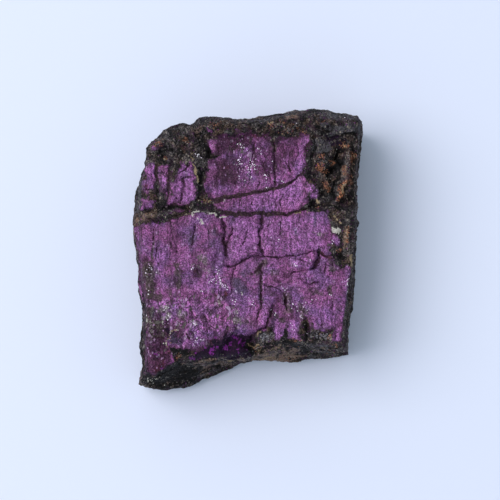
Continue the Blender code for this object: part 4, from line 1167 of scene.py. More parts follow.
class Bench:
    """Lays out the nodes of one tree, for a shader or for a shape, and joins them."""

    def __init__(self, tree: bpy.types.NodeTree) -> None:
        self.tree = tree

    def node(self, kind: str, inputs: dict | None = None, **settings: object) -> bpy.types.Node:
        """Adds a node.

        Args:
            kind: Its type.
            inputs: A value or another node's socket for each input that is set.
            settings: Its properties.

        Returns:
            The node.
        """
        made = self.tree.nodes.new(kind)
        for name, value in settings.items():
            setattr(made, name, value)
        for key, value in (inputs or {}).items():
            self.feed(made.inputs[key], value)
        return made

    def feed(self, socket: Socket, value: object) -> None:
        """Joins a socket to another one, or sets its value."""
        if isinstance(value, Socket):
            self.tree.links.new(value, socket)
        else:
            socket.default_value = value

    def sum(self, kind: str, first: object, second: object = 0.0) -> Socket:
        """Works out one number from two, such as their product."""
        return self.node("ShaderNodeMath", {0: first, 1: second}, operation=kind).outputs[0]

    def times(self, first: object, second: object) -> Socket:
        """Works out the product of two numbers."""
        return self.sum("MULTIPLY", first, second)


class ShaderBench(Bench):
    """Lays out a material's nodes. Patterns are read on the piece's own millimetres."""

    def __init__(self, name: str) -> None:
        self.material = bpy.data.materials.new(name)
        self.material.use_nodes = True
        super().__init__(self.material.node_tree)
        self.shader = self.tree.nodes["Principled BSDF"]
        self.own_place = self.node("ShaderNodeTexCoord").outputs["Object"]

    def set(self, inputs: dict[str, object]) -> None:
        """Sets inputs of the shader itself."""
        for name, value in inputs.items():
            self.feed(self.shader.inputs[name], value)

    def place(self, stretch: Triple = (1.0, 1.0, 1.0), lean: float = 0.0) -> Socket:
        """Gives the place on the piece in millimetres.

        Args:
            stretch: How much each axis is drawn together, so 2 makes a pattern half as wide.
            lean: How far the pattern is turned about the vertical, in radians.

        Returns:
            The socket with the place.
        """
        scale = tuple(share / MM for share in stretch)
        turned = self.own_place
        if lean:
            turned = self.node("ShaderNodeMapping", {"Vector": turned, "Rotation": (0, 0, lean)}).outputs[0]
        return self.node("ShaderNodeMapping", {"Vector": turned, "Scale": scale}).outputs[0]

    def noise(self, place: Socket, scale: float, detail: float = 2.0) -> Socket:
        """Gives soft noise around 0.5, with scale waves a millimetre."""
        settings = {"Vector": place, "Scale": scale, "Detail": detail, "Roughness": 0.6}
        return self.node("ShaderNodeTexNoise", settings).outputs["Fac"]

    def cells(self, place: Socket, scale: float) -> Socket:
        """Gives each grain of a crystalline pattern a colour of its own, with scale grains a millimetre."""
        return self.node("ShaderNodeTexVoronoi", {"Vector": place, "Scale": scale}).outputs["Color"]

    def one_of(self, colour: Socket, index: int = 0) -> Socket:
        """Takes one of the three numbers of a colour."""
        return self.node("ShaderNodeSeparateColor", {0: colour}).outputs[index]

    def vector(self, kind: str, inputs: dict) -> Socket:
        """Works out one place or direction, such as the sum of two."""
        return self.node("ShaderNodeVectorMath", inputs, operation=kind).outputs[0]

    def facets(self, cells: Socket, tilt: object, below: object) -> Socket:
        """Leans each grain of a crystalline pattern its own way.

        Args:
            cells: The pattern.
            tilt: How far the grains lean.
            below: The relief that they lie on.

        Returns:
            The bent normal.
        """
        off = self.vector("SUBTRACT", {0: cells, 1: (0.5, 0.5, 0.5)})
        lean = self.vector("SCALE", {0: off, "Scale": tilt})
        return self.vector("NORMALIZE", {0: self.vector("ADD", {0: below, 1: lean})})

    def share(self, name: str) -> Socket:
        """Reads one of the shares that the mesh brings along."""
        return self.node("ShaderNodeAttribute", attribute_name=name).outputs["Fac"]

    def step(self, value: object, low: float, high: float) -> Socket:
        """Turns a number into a share that runs softly from 0 at low to 1 at high."""
        limits = {"Value": value, "From Min": low, "From Max": high}
        return self.node("ShaderNodeMapRange", limits, interpolation_type="SMOOTHSTEP").outputs[0]

    def spread(self, value: object, low: object, high: object) -> Socket:
        """Turns a share into a number that runs straight from low at 0 to high at 1."""
        limits = {"Value": value, "To Min": low, "To Max": high}
        return self.node("ShaderNodeMapRange", limits).outputs[0]

    def mix(
        self, share: object, first: object, second: object, most: float = 1.0, kind: str = "MIX"
    ) -> Socket:
        """Mixes two colours.

        Args:
            share: How much of the second there is.
            first: A colour or a socket.
            second: A colour or a socket.
            most: How much of the second there is where the share is 1.
            kind: How they are mixed.

        Returns:
            The mixed colour.
        """
        node = self.node("ShaderNodeMix", data_type="RGBA", blend_type=kind)
        self.feed(node.inputs[0], share if most == 1.0 else self.times(share, most))
        for index, colour in ((6, first), (7, second)):
            self.feed(node.inputs[index], colour if isinstance(colour, Socket) else (*colour, 1.0))
        return node.outputs[2]

    def bump(self, height: object, depth: float, below: object = None) -> Socket:
        """Adds fine relief.

        Args:
            height: The pattern, from 0 to 1.
            depth: How deep it goes, in millimetres.
            below: The relief that it lies on, if any.

        Returns:
            The bent normal.
        """
        made = self.node("ShaderNodeBump", {"Height": height, "Distance": depth * MM, "Strength": 1.0})
        if below is not None:
            self.feed(made.inputs["Normal"], below)
        return made.outputs[0]


@dataclass(frozen=True)
class Wash:
    """How one tint is laid over the colour below it.

    Args:
        tint: Which share it follows.
        colour: Its colour.
        most: How much it covers at most.
        scale: How many bits its edge breaks into on a millimetre.
        tear: How much it breaks up.
        low: What is too little to show.
        high: From where on it shows in full.
    """

    tint: Tint
    colour: Colour
    most: float = 0.85
    scale: float = 1.8
    tear: float = 1.3
    low: float = 0.15
    high: float = 0.85

    def over(self, bench: "ShaderBench", below: Socket) -> Socket:
        """Lays the tint over a colour, broken up so that it doesn't look drawn.

        Args:
            bench: Where the nodes go.
            below: The colour.

        Returns:
            The colour with the tint on it.
        """
        edge = bench.sum("SUBTRACT", bench.noise(bench.place((1.4, 0.8, 1.0)), self.scale, 5.0), 0.5)
        ragged = bench.sum("ADD", bench.share(self.tint.value), bench.times(edge, self.tear))
        return bench.mix(bench.step(ragged, self.low, self.high), below, self.colour, self.most)


@dataclass(frozen=True)
class StoneFinish:
    """Satin purple cleavage, brown veins, and dark rind with rust, all on one stone."""

    reddish: Colour = (0.225, 0.070, 0.200)
    bluish: Colour = (0.165, 0.072, 0.208)
    # painted highlight: the colour of glints from tiny cleavage facets, painted onto the brightest grains
    painted_glint: Colour = (0.50, 0.29, 0.54)
    dust: Colour = (0.145, 0.14, 0.12)
    # painted shade of tiny pits; also the colour of the fine crack net, hairlines, dark dots and plate joints
    pit_shade_and_dark_marks: Colour = (0.022, 0.008, 0.018)
    crack: Colour = (0.022, 0.007, 0.014)
    dusk: Colour = (0.034, 0.012, 0.030)
    vein: Colour = (0.020, 0.011, 0.012)
    vein_grain: Colour = (0.075, 0.048, 0.038)
    rind: Colour = (0.007, 0.006, 0.007)
    rind_grey: Colour = (0.059, 0.051, 0.053)
    rind_brown: Colour = (0.050, 0.031, 0.023)
    rind_fleck: Colour = (0.25, 0.21, 0.18)
    ember: Colour = (0.34, 0.125, 0.06)
    on_purple: tuple[Wash, ...] = (
        Wash(Tint.LILAC, (0.325, 0.118, 0.345), 0.78, 1.9, 1.6),
        Wash(Tint.PLUM, (0.046, 0.015, 0.034), 0.85, 1.8, 1.6),
        Wash(Tint.BLUE, (0.075, 0.060, 0.115), 0.75, 1.8, 1.6),
        Wash(Tint.OLIVE, (0.058, 0.048, 0.040), 0.8, 2.2, 1.6),
        Wash(Tint.CRIMSON, (0.060, 0.010, 0.016), 0.85, 2.2, 1.4),
        Wash(Tint.FILM, (0.19, 0.185, 0.16), 0.65, 3.0, 2.2, 0.2, 0.9),
    )
    on_rind: tuple[Wash, ...] = (
        Wash(Tint.EARTH, (0.130, 0.086, 0.066), 0.85, 2.6),
        Wash(Tint.SLATE, (0.062, 0.058, 0.068), 0.8, 2.4, 1.6, 0.25, 0.8),
        Wash(Tint.RUST, (0.115, 0.048, 0.030), 0.85, 3.6, 2.6, 0.4, 0.7),
        Wash(Tint.FILM, (0.125, 0.115, 0.135), 0.75, 4.0, 2.6, 0.3, 0.8),
    )
    calm: tuple[Wash, ...] = (
        Wash(Tint.EARTH, (0.150, 0.104, 0.085), 0.65, 2.6),
        Wash(Tint.SLATE, (0.043, 0.040, 0.046), 0.5, 2.4, 1.6, 0.25, 0.8),
    )
    on_all: tuple[Wash, ...] = (
        Wash(Tint.VIOLET, (0.008, 0.0015, 0.012), 0.93, 2.6, 2.4, 0.3, 0.55),
        Wash(Tint.BLOOM, (0.185, 0.020, 0.215), 0.9, 5.6, 3.8, 0.45, 0.8),
        Wash(Tint.BLACK, (0.003, 0.0025, 0.003), 0.95, 3.6, 2.0, 0.4, 0.62),
        Wash(Tint.TAN, (0.30, 0.22, 0.14), 0.85, 5.0, 2.0, 0.4, 0.66),
        Wash(Tint.PALE, (0.48, 0.45, 0.43), 0.88, 5.0, 2.2, 0.5, 0.7),
    )
    gleam: float = 0.14

    @staticmethod
    def shaded(bench: ShaderBench, colour: Socket, share: object, low: object, high: object) -> Socket:
        """Darkens or lightens a colour.

        Args:
            bench: Where the nodes go.
            colour: The colour.
            share: The pattern to do it by, from 0 to 1.
            low: What multiplies the colour where the pattern is 0.
            high: What multiplies it where the pattern is 1.

        Returns:
            The colour with the pattern in it.
        """
        value = bench.spread(share, low, high)
        grey = bench.node("ShaderNodeCombineColor", {0: value, 1: value, 2: value}).outputs[0]
        return bench.mix(1.0, colour, grey, kind="MULTIPLY")

    def purple(self, bench: ShaderBench, cells: Socket) -> Socket:
        """Mixes the colour of the clean cleavage face, with painted glints and painted pit shade on its
        grains.

        Args:
            bench: Where the nodes go.
            cells: The crystalline pattern.

        Returns:
            The colour.
        """
        cloud = bench.noise(bench.place(), 0.55, 3.0)
        colour = bench.mix(bench.step(cloud, 0.38, 0.66), self.reddish, self.bluish)
        for wash in self.on_purple:
            colour = wash.over(bench, colour)
        colour = self.shaded(bench, colour, bench.share("tone"), 0.82, 1.18)
        strands = bench.noise(bench.place((7.0, 0.7, 2.0), 0.06), 0.9, 3.0)
        colour = self.shaded(bench, colour, bench.step(strands, 0.3, 0.7), 0.82, 1.18)
        mottle = bench.noise(bench.place((1.2, 0.85, 1.0)), 2.6, 4.0)
        fine = bench.noise(bench.place((1.1, 0.9, 1.0), 0.4), 9.0, 2.0)
        crumbly = bench.share(Tint.CRUMBLY.value)
        shards = bench.one_of(bench.cells(bench.place((1.25, 0.8, 1.0), 0.2), 2.7), 1)
        for pattern, clean, broken in (
            (bench.step(mottle, 0.34, 0.66), 0.12, 0.2),
            (shards, 0.15, 0.4),
            (bench.one_of(cells), 0.33, 0.62),
            (bench.step(fine, 0.36, 0.64), 0.58, 0.66),
        ):
            low, high = (bench.spread(crumbly, 1 + side * clean, 1 + side * broken) for side in (-1, 1))
            colour = self.shaded(bench, colour, pattern, low, high)
        # In crumbly parts the darkest grains get painted pit shade, the next pale dust, and the brightest a
        # painted glint.
        bits = bench.one_of(bench.cells(bench.place((1.2, 0.8, 1.0), 0.3), 4.4), 2)
        for low, tint in ((0.84, self.pit_shade_and_dark_marks), (0.90, self.dust), (0.95, self.painted_glint)):
            there = bench.times(bench.step(bits, low, low + 0.01), bench.times(crumbly, 0.75))
            colour = bench.mix(there, colour, tint)
        colour = bench.mix(self.net(bench), colour, self.pit_shade_and_dark_marks)
        drawn = bench.noise(bench.place((8.0, 0.5, 2.0), 0.06), 1.0, 2.0)
        hair = bench.step(bench.sum("ABSOLUTE", bench.sum("SUBTRACT", drawn, 0.5)), 0.03, 0.008)
        hair = bench.times(hair, bench.spread(bench.step(mottle, 0.46, 0.56), 0.0, 0.7))
        colour = bench.mix(hair, colour, self.pit_shade_and_dark_marks)
        # Painted glints: the brightest grains of the crystalline pattern get a light lilac, a painted
        # highlight.
        bright = bench.times(bench.step(bench.one_of(cells, 1), 0.93, 0.97), bench.step(mottle, 0.45, 0.6))
        colour = bench.mix(bright, colour, self.painted_glint, 0.7)
        for scale in (3.6, 6.5):
            dots = bench.step(bench.noise(bench.place((1.3, 0.9, 1.0)), scale, 1.5), 0.66, 0.7)
            colour = bench.mix(dots, colour, self.pit_shade_and_dark_marks, 0.8)
        worn = bench.step(bench.noise(bench.place(), 1.7, 2.0), 0.42, 0.6)
        return bench.mix(bench.times(bench.share("joint"), bench.times(worn, 0.5)), colour, self.pit_shade_and_dark_marks)

    @staticmethod
    def net(bench: ShaderBench) -> Socket:
        """Gives a broken net of the finest cracks, as a share.

        Args:
            bench: Where the nodes go.

        Returns:
            The share.
        """
        waves = {"Vector": bench.place(), "Scale": 2.2, "Detail": 3.0}
        bend = bench.node("ShaderNodeTexNoise", waves).outputs["Color"]
        off = bench.vector("SCALE", {0: bend, "Scale": 0.9})
        meshes = {"Vector": bench.vector("ADD", {0: bench.place((1.5, 0.75, 1.0)), 1: off}), "Scale": 1.15}
        gap = bench.node("ShaderNodeTexVoronoi", meshes, feature="DISTANCE_TO_EDGE").outputs["Distance"]
        line = bench.sum("SUBTRACT", 1.0, bench.step(gap, 0.02, 0.075))
        there = bench.step(bench.noise(bench.place(), 0.9, 2.0), 0.4, 0.56)
        there = bench.times(there, bench.spread(bench.share(Tint.CRUMBLY.value), 0.5, 0.85))
        return bench.times(line, there)

    def dark(self, bench: ShaderBench, cells: Socket) -> Socket:
        """Mixes the colour of the rind and the broken walls, with black blotches painted as the shade of
        small hollows.

        Args:
            bench: Where the nodes go.
            cells: The crystalline pattern.

        Returns:
            The colour.
        """
        blotch = bench.noise(bench.place(), 1.3, 5.0)
        colour = bench.mix(bench.step(blotch, 0.42, 0.68), self.rind, self.rind_grey)
        warm = bench.step(bench.noise(bench.place(lean=0.7), 0.9, 5.0), 0.46, 0.64)
        colour = bench.mix(warm, colour, self.rind_brown, 0.75)
        beds = bench.noise(bench.place((0.25, 0.25, 0.8)), 1.3, 6.0)
        bedded = bench.times(bench.step(beds, 0.48, 0.6), bench.share("wall"))
        colour = bench.mix(bedded, colour, self.rind_grey, 0.6)
        low, high = (bench.spread(bench.share("wall"), 1.0, most) for most in (0.55, 1.5))
        colour = self.shaded(bench, colour, bench.step(beds, 0.4, 0.6), low, high)
        for wash in self.on_rind:
            colour = wash.over(bench, colour)
        rusty = bench.step(bench.share(Tint.RUST.value), 0.2, 1.0)
        embers = bench.times(bench.step(bench.one_of(cells, 2), 0.68, 0.74), rusty)
        colour = bench.mix(embers, colour, self.ember, 0.6)
        colour = self.shaded(bench, colour, bench.one_of(cells), 0.22, 2.1)
        fine = bench.noise(bench.place(), 9.0, 2.0)
        colour = self.shaded(bench, colour, bench.step(fine, 0.36, 0.64), 0.15, 2.2)
        for wash in self.calm:
            colour = wash.over(bench, colour)
        # Painted shade: black blotches stand for the shade inside small hollows of the rind.
        painted_hollow_shade = bench.step(bench.noise(bench.place(lean=1.1), 1.7, 5.0), 0.56, 0.62)
        colour = bench.mix(painted_hollow_shade, colour, self.rind, 0.8)
        flecks = bench.times(bench.step(bench.one_of(cells, 1), 0.94, 0.97), bench.step(blotch, 0.36, 0.56))
        colour = bench.mix(flecks, colour, self.rind_fleck, 0.75)
        purple_in_rind = bench.step(bench.noise(bench.place(), 1.1, 5.0), 0.52, 0.66)
        return bench.mix(purple_in_rind, colour, self.dusk, 0.55)

    def material(self) -> bpy.types.Material:
        """Makes the finish.

        Returns:
            The material.
        """
        bench = ShaderBench("purple cleavage in dark rind")
        cells = bench.cells(bench.place((1.15, 0.85, 1.0), 0.06), 7.0)
        colour = self.purple(bench, cells)

        crumbs = bench.noise(bench.place(), 5.0, 3.0)
        tear = bench.times(bench.sum("SUBTRACT", crumbs, 0.5), 1.4)
        crack = bench.step(bench.sum("ADD", bench.share("crack"), tear), 0.6, 0.78)
        strong = bench.spread(bench.step(bench.noise(bench.place(), 0.9, 2.0), 0.38, 0.58), 0.62, 0.92)
        colour = bench.mix(bench.times(crack, strong), colour, self.crack)
        filling = bench.mix(bench.step(crumbs, 0.54, 0.68), self.vein, self.vein_grain)
        vein = bench.step(bench.sum("ADD", bench.share("vein"), tear), 0.34, 0.6)
        colour = bench.mix(vein, colour, filling, 0.92)

        tatters = bench.sum("SUBTRACT", bench.noise(bench.place(), 2.4, 6.0), 0.5)
        edge = bench.sum("ADD", bench.share("rind"), bench.times(tatters, 2.3))
        colour = bench.mix(bench.step(edge, 0.05, 0.5), colour, self.dusk, 0.7)
        rind = bench.step(edge, 0.42, 0.62)
        colour = bench.mix(rind, colour, self.dark(bench, cells))
        for wash in self.on_all:
            colour = wash.over(bench, colour)

        dull = bench.sum("MAXIMUM", rind, bench.sum("MAXIMUM", vein, crack))
        for tint in (Tint.VIOLET, Tint.PLUM):
            dull = bench.sum("MAXIMUM", dull, bench.share(tint.value))
        gleam = bench.noise(bench.place((3.0, 1.2, 2.0)), 3.4, 3.0)
        satin = bench.spread(bench.step(gleam, 0.3, 0.7), 0.3, 0.62)
        rough_rind = bench.spread(bench.noise(bench.place(), 3.0, 3.0), 0.45, 0.95)
        picked = bench.node("ShaderNodeMix", {0: dull, 2: satin, 3: rough_rind})

        grainy = bench.bump(bench.times(bench.noise(bench.place(), 4.4, 4.0), dull), 0.14)
        lines = bench.noise(bench.place((5.0, 1.6, 2.0), 0.06), 1.7, 3.0)
        bumped = bench.bump(bench.times(lines, bench.sum("SUBTRACT", 1.0, dull)), 0.05, grainy)
        bench.set({
            "Base Color": colour,
            "Roughness": picked.outputs[0],
            "Specular IOR Level": self.gleam,
            "Normal": bench.facets(cells, bench.spread(dull, 0.4, 0.8), bumped),
        })
        return bench.material


@dataclass(frozen=True)
class PlainFinish:
    """A finish of one mineral, with a fine mottle of a second colour.

    Args:
        name: What the material is called.
        colour: Its main colour.
        second: The colour of its mottle.
        roughness: From 0, polished, to 1, dull.
        scale: How many mottles there are in a millimetre.
    """

    name: str
    colour: Colour
    second: Colour
    roughness: float
    scale: float = 6.0

    def material(self) -> bpy.types.Material:
        """Makes the finish.

        Returns:
            The material.
        """
        bench = ShaderBench(self.name)
        mottle = bench.step(bench.noise(bench.place(), self.scale, 3.0), 0.4, 0.62)
        bench.set({
            "Base Color": bench.mix(mottle, self.colour, self.second),
            "Roughness": self.roughness,
            "Normal": bench.bump(mottle, 0.02),
        })
        return bench.material


class ShapeBench(Bench):
    """Lays out a tree that makes a shape, with named inputs."""

    def __init__(self, name: str, inputs: dict[str, tuple[str, object]]) -> None:
        super().__init__(bpy.data.node_groups.new(name, "GeometryNodeTree"))
        face = self.tree.interface
        face.new_socket("Geometry", in_out="INPUT", socket_type="NodeSocketGeometry")
        face.new_socket("Geometry", in_out="OUTPUT", socket_type="NodeSocketGeometry")
        self.values = {}
        for label, (kind, value) in inputs.items():
            socket = face.new_socket(label, in_out="INPUT", socket_type=kind)
            self.values[socket.identifier] = value
        self.given = self.node("NodeGroupInput").outputs

    def applied(self, mesh: Mesh, result: Socket) -> Mesh:
        """Ends the tree, runs it on a mesh and gives the plain mesh that comes out.

        Args:
            mesh: What the tree starts from.
            result: The socket that holds the finished shape.

        Returns:
            The new mesh.
        """
        self.node("NodeGroupOutput", {0: result})
        carrier = in_scene("carrier", mesh)
        modifier = carrier.modifiers.new("shape", "NODES")
        modifier.node_group = self.tree
        for identifier, value in self.values.items():
            modifier[identifier] = value
        return worked_out(carrier)


def points_of(mesh: Mesh) -> Field:
    """Reads a mesh's points, one row each.

    Args:
        mesh: The mesh.

    Returns:
        The points.
    """
    places = np.empty(len(mesh.vertices) * 3, np.float32)
    mesh.vertices.foreach_get("co", places)
    return places.reshape(-1, 3).astype(float)


def set_points(mesh: Mesh, places: Field) -> None:
    """Writes a mesh's points, one row each."""
    mesh.vertices.foreach_set("co", places.astype(np.float32).ravel())
    mesh.update()


def keep_in_box(mesh: Mesh) -> None:
    """Pulls in any point that stands out of the solid's box, which the stone may not outgrow."""
    low, high = (np.array(corner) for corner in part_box(NODE))
    set_points(mesh, np.clip(points_of(mesh), low, high))


def shown(name: str, mesh: Mesh) -> Piece:
    """Puts a finished mesh in the scene as a piece that rides on the stone's body.

    Args:
        name: What the piece is called.
        mesh: Its mesh, in metres.

    Returns:
        The piece.
    """
    keep_in_box(mesh)
    piece = in_scene(name, mesh)
    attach(piece, BODY)
    return piece


@dataclass
class Slab:
    """The stone itself, as one fine closed net."""

    face: Face = field(default_factory=Face)
    walls: Walls = field(default_factory=Walls)
    finish: StoneFinish = field(default_factory=StoneFinish)
    steps: tuple[int, int, int] = (221, 255, 49)
    kept_above: float = FACE_HEIGHT - 2.0
    kept_share: float = 0.6
    sharp_angle: float = 0.9
    foot_radius: float = 0.5
    foot_rise: float = 0.4
    edge: float = 1e-4
    grain_height: float = 0.075
    crumb_height: float = 0.08
    crumbly_height: float = 0.035
    bed_height: float = 0.05
    slab_height: float = 0.13

    def blank(self) -> Mesh:
        """Makes a unit cube cut into a fine net along each axis."""
        names = ("Points Across", "Points Along", "Points Up")
        kind = "NodeSocketInt"
        bench = ShapeBench("stone blank", {name: (kind, count) for name, count in zip(names, self.steps)})
        sizes = {f"Vertices {axis}": bench.given[name] for axis, name in zip("XYZ", names)}
        cube = bench.node("GeometryNodeMeshCube", {"Size": (1.0, 1.0, 1.0), **sizes})
        plain = bench.node("GeometryNodeRealizeInstances", {0: cube.outputs["Mesh"]})
        return bench.applied(bpy.data.meshes.new("blank"), plain.outputs[0])

    def first_shape(self, places: Field) -> Field:
        """Moves each point of the blank to its place on the stone, as the solid has it.

        Args:
            places: Points of the unit cube around the origin, one row each.

        Returns:
            The points in millimetres on the plan.
        """
        u, v, rise = np.clip(places.T + 0.5, 0.0, 1.0)
        brow, foot = BROW.stretch(u, v), FOOT.stretch(u, v)
        upper, lower = np.zeros_like(u), np.zeros_like(u)
        on_top = rise > self.edge
        upper[on_top] = self.upper(*brow[on_top].T)
        below = rise < 1 - self.edge
        lower[below] = self.lower(*foot[below].T)

        height = lower + (upper - lower) * rise
        plan = foot + (brow - foot) * rise[:, None]
        middle_of_wall = 4 * rise * (1 - rise)
        side = middle_of_wall > self.edge
        outward = plan[side] / np.hypot(*plan[side].T)[:, None].clip(1.0)
        push = self.walls.bulge(*plan[side].T) * middle_of_wall[side]
        broken = self.walls.relief(*plan[side].T, height[side])
        push += broken * smooth(0.0, 0.35, middle_of_wall[side])
        plan[side] += outward * push[:, None]
        return np.column_stack((plan, height))

    def upper(self, x: Field, y: Field) -> Field:
        """Gives the height of the face, rounded over at the brow.

        Args:
            x: Across the slab.
            y: Along the slab.

        Returns:
            The height at each place.
        """
        radius = self.face.brow_radius(x, y)
        inward = np.clip(depth_inside(x, y, BROW.ring()), 0.0, radius) / radius
        rounding = radius * (1 - np.sqrt(1 - (1 - inward) ** 2))
        return FACE_HEIGHT + self.face.relief(x, y) - rounding

    def lower(self, x: Field, y: Field) -> Field:
        """Gives the height of the underside, rounded over at the foot."""
        inward = np.clip(depth_inside(x, y, FOOT.ring()), 0.0, self.foot_radius) / self.foot_radius
        return self.walls.underside(x, y) + self.foot_rise * (1 - np.sqrt(1 - (1 - inward) ** 2))

    def roughen(self, mesh: Mesh, drawing: Drawing) -> None:
        """Pushes the points in and out along their normals: plates, striae, crumbs and beds.

        Args:
            mesh: The stone in millimetres on the plan.
            drawing: Where the rind and the walls are.
        """
        places = points_of(mesh)
        normals = np.empty(len(places) * 3, np.float32)
        mesh.vertices.foreach_get("normal", normals)
        normals = normals.reshape(-1, 3)
        x, y, z = places.T
        bent_x, bent_y = self.face.warp(x, y)
        wall = drawing.wall(x, y, z)
        rind = np.maximum(drawing.rind_share(places, bent_x, bent_y), wall)
        veins = drawing.strongest((*self.face.veins, *self.face.cracks), bent_x, bent_y)
        dull = np.maximum(rind, 0.8 * veins)
        push = dull * self.grain_height * grain(places, 0.55, 21)
        push += dull * (1 - 0.45 * wall) * self.crumb_height * grain(places, 0.22, 33)
        push += wall * self.bed_height * grain(places, (2.4, 2.4, 0.34), 45)
        steps = smooth(-0.12, 0.12, grain(places, (3.2, 3.2, 0.9), 47))
        push += wall * self.slab_height * (steps - 0.5)
        clean = (1 - dull) * smooth(0.4, 0.8, normals[:, 2])
        height, _, joint = self.face.plates(bent_x, bent_y)
        push += clean * (height - 0.03 * joint)
        push += clean * self.face.stria * grain(places, (0.2, 2.4, 9.0), 57)
        crumbly = drawing.covered(drawing.tints[Tint.CRUMBLY], bent_x, bent_y)
        push += clean * (0.3 + 0.7 * crumbly) * self.crumbly_height * grain(places, 0.3, 61)
        resting = smooth(0.0, 0.12, z)
        set_points(mesh, places + normals * (push * resting)[:, None])

    def thinned(self, mesh: Mesh) -> Mesh:
        """Takes points out of the walls and the underside where they bend little. The face stays whole.

        Args:
            mesh: The stone in millimetres on the plan.

        Returns:
            The mesh with fewer points.
        """
        carrier = in_scene("carrier", mesh)
        rest = carrier.vertex_groups.new(name="walls and underside")
        rest.add(np.flatnonzero(points_of(mesh)[:, 2] < self.kept_above).tolist(), 1.0, "ADD")
        thinner = carrier.modifiers.new("fewer faces", "DECIMATE")
        thinner.ratio = self.kept_share
        thinner.vertex_group = rest.name
        thinner.vertex_group_factor = 0.0
        thinner.use_collapse_triangulate = True
        return worked_out(carrier)

    def build(self) -> Piece:
        """Makes the stone.

        Returns:
            The finished piece.
        """
        drawing = Drawing(self.face)
        mesh = self.blank()
        set_points(mesh, self.first_shape(points_of(mesh)))
        self.roughen(mesh, drawing)
        mesh = self.thinned(mesh)
        places = points_of(mesh)
        for name, share in drawing.shares(places).items():
            layer = mesh.attributes.new(name, "FLOAT", "POINT")
            layer.data.foreach_set("value", share.astype(np.float32))
        middle = np.array((*PLAN_MIDDLE, 0.0))
        places = (places - middle) * MM
        places[:, 2] = np.where(places[:, 2] < 0.02 * MM, 0.0, places[:, 2])
        set_points(mesh, places)
        mesh.shade_smooth()
        mesh.set_sharp_from_angle(angle=self.sharp_angle)
        mesh.materials.clear()
        mesh.materials.append(self.finish.material())
        piece = shown("purple_slab", mesh)
        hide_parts(NODE)
        return piece


class Form(Enum):
    """The shape of one strewn bit."""

    CRUMB = "crumb"
    FLAKE = "flake"


@dataclass(frozen=True)
class Strewn:
    """Small bits strewn over the stone, as many at each place as a share says.

    Args:
        name: What the piece is called.
        finish: Its finish.
        form: The shape of one bit.
        share: The share on the stone that says where they lie.
        per_square: How many lie on a square millimetre where the share is 1.
        smallest: Radius of the smallest bit, in millimetres.
        largest: Radius of the largest bit, in millimetres.
        tilt: How far a bit leans out of the surface at most, in radians.
        thickness: Thickness of a bit for each millimetre of its radius.
        seed: Which of many ways to strew them.
    """

    name: str
    finish: PlainFinish
    form: Form
    share: str
    per_square: float
    smallest: float
    largest: float
    tilt: float
    thickness: float
    seed: int

    def bit(self, bench: ShapeBench) -> Socket:
        """Makes one bit with a radius of 1.

        Args:
            bench: Where the nodes go.

        Returns:
            The socket with the bit.
        """
        if self.form is Form.CRUMB:
            made, width = bench.node("GeometryNodeMeshIcoSphere", {"Radius": 1.0, "Subdivisions": 1}), 0.8
        else:
            made = bench.node("GeometryNodeMeshCylinder", {"Vertices": 5, "Radius": 1.0, "Depth": 1.0})
            width = 0.6
        size = {0: made.outputs["Mesh"], "Scale": (1.0, width, self.thickness)}
        return bench.node("GeometryNodeTransform", size).outputs[0]

    def build(self, stone: Piece) -> Piece:
        """Strews the bits over the stone.

        Args:
            stone: The piece that they lie on, with its shares.

        Returns:
            The finished piece.
        """
        number = "NodeSocketFloat"
        bench = ShapeBench(self.name, {
            "Bits per Square Metre": (number, self.per_square / MM**2),
            "Smallest Radius": (number, self.smallest * MM),
            "Largest Radius": (number, self.largest * MM),
            "Steepest Tilt": (number, self.tilt),
            "Seed": ("NodeSocketInt", self.seed),
        })
        given = bench.given
        share = bench.node("GeometryNodeInputNamedAttribute", {"Name": self.share}, data_type="FLOAT")
        density = bench.times(share.outputs[0], given["Bits per Square Metre"])
        spots = bench.node(
            "GeometryNodeDistributePointsOnFaces",
            {"Mesh": given["Geometry"], "Density": density, "Seed": given["Seed"]},
        )
        turn = bench.node("FunctionNodeRandomValue", {"Seed": given["Seed"]}, data_type="FLOAT_VECTOR")
        steepest = given["Steepest Tilt"]
        for socket, tilt, spin in (("Min", bench.times(steepest, -1.0), 0.0), ("Max", steepest, 2 * np.pi)):
            angles = bench.node("ShaderNodeCombineXYZ", {0: tilt, 1: tilt, 2: spin})
            bench.feed(turn.inputs[socket], angles.outputs[0])
        lean = bench.node("FunctionNodeEulerToRotation", {0: turn.outputs[0]})
        turned = bench.node(
            "FunctionNodeRotateRotation",
            {"Rotation": spots.outputs["Rotation"], "Rotate By": lean.outputs[0]},
            rotation_space="LOCAL",
        )
        size = bench.node("FunctionNodeRandomValue", {"Seed": given["Seed"]}, data_type="FLOAT")
        bench.feed(size.inputs[2], given["Smallest Radius"])
        bench.feed(size.inputs[3], given["Largest Radius"])
        placed = bench.node("GeometryNodeInstanceOnPoints", {
            "Points": spots.outputs["Points"],
            "Instance": self.bit(bench),
            "Rotation": turned.outputs[0],
            "Scale": size.outputs[1],
        })
        plain = bench.node("GeometryNodeRealizeInstances", {0: placed.outputs[0]})
        finished = bench.node(
            "GeometryNodeSetMaterial", {"Geometry": plain.outputs[0], "Material": self.finish.material()}
        )
        mesh = bench.applied(stone.data.copy(), finished.outputs[0])
        for name in Drawing.names():
            if name in mesh.attributes:
                mesh.attributes.remove(mesh.attributes[name])
        return shown(self.name, mesh)


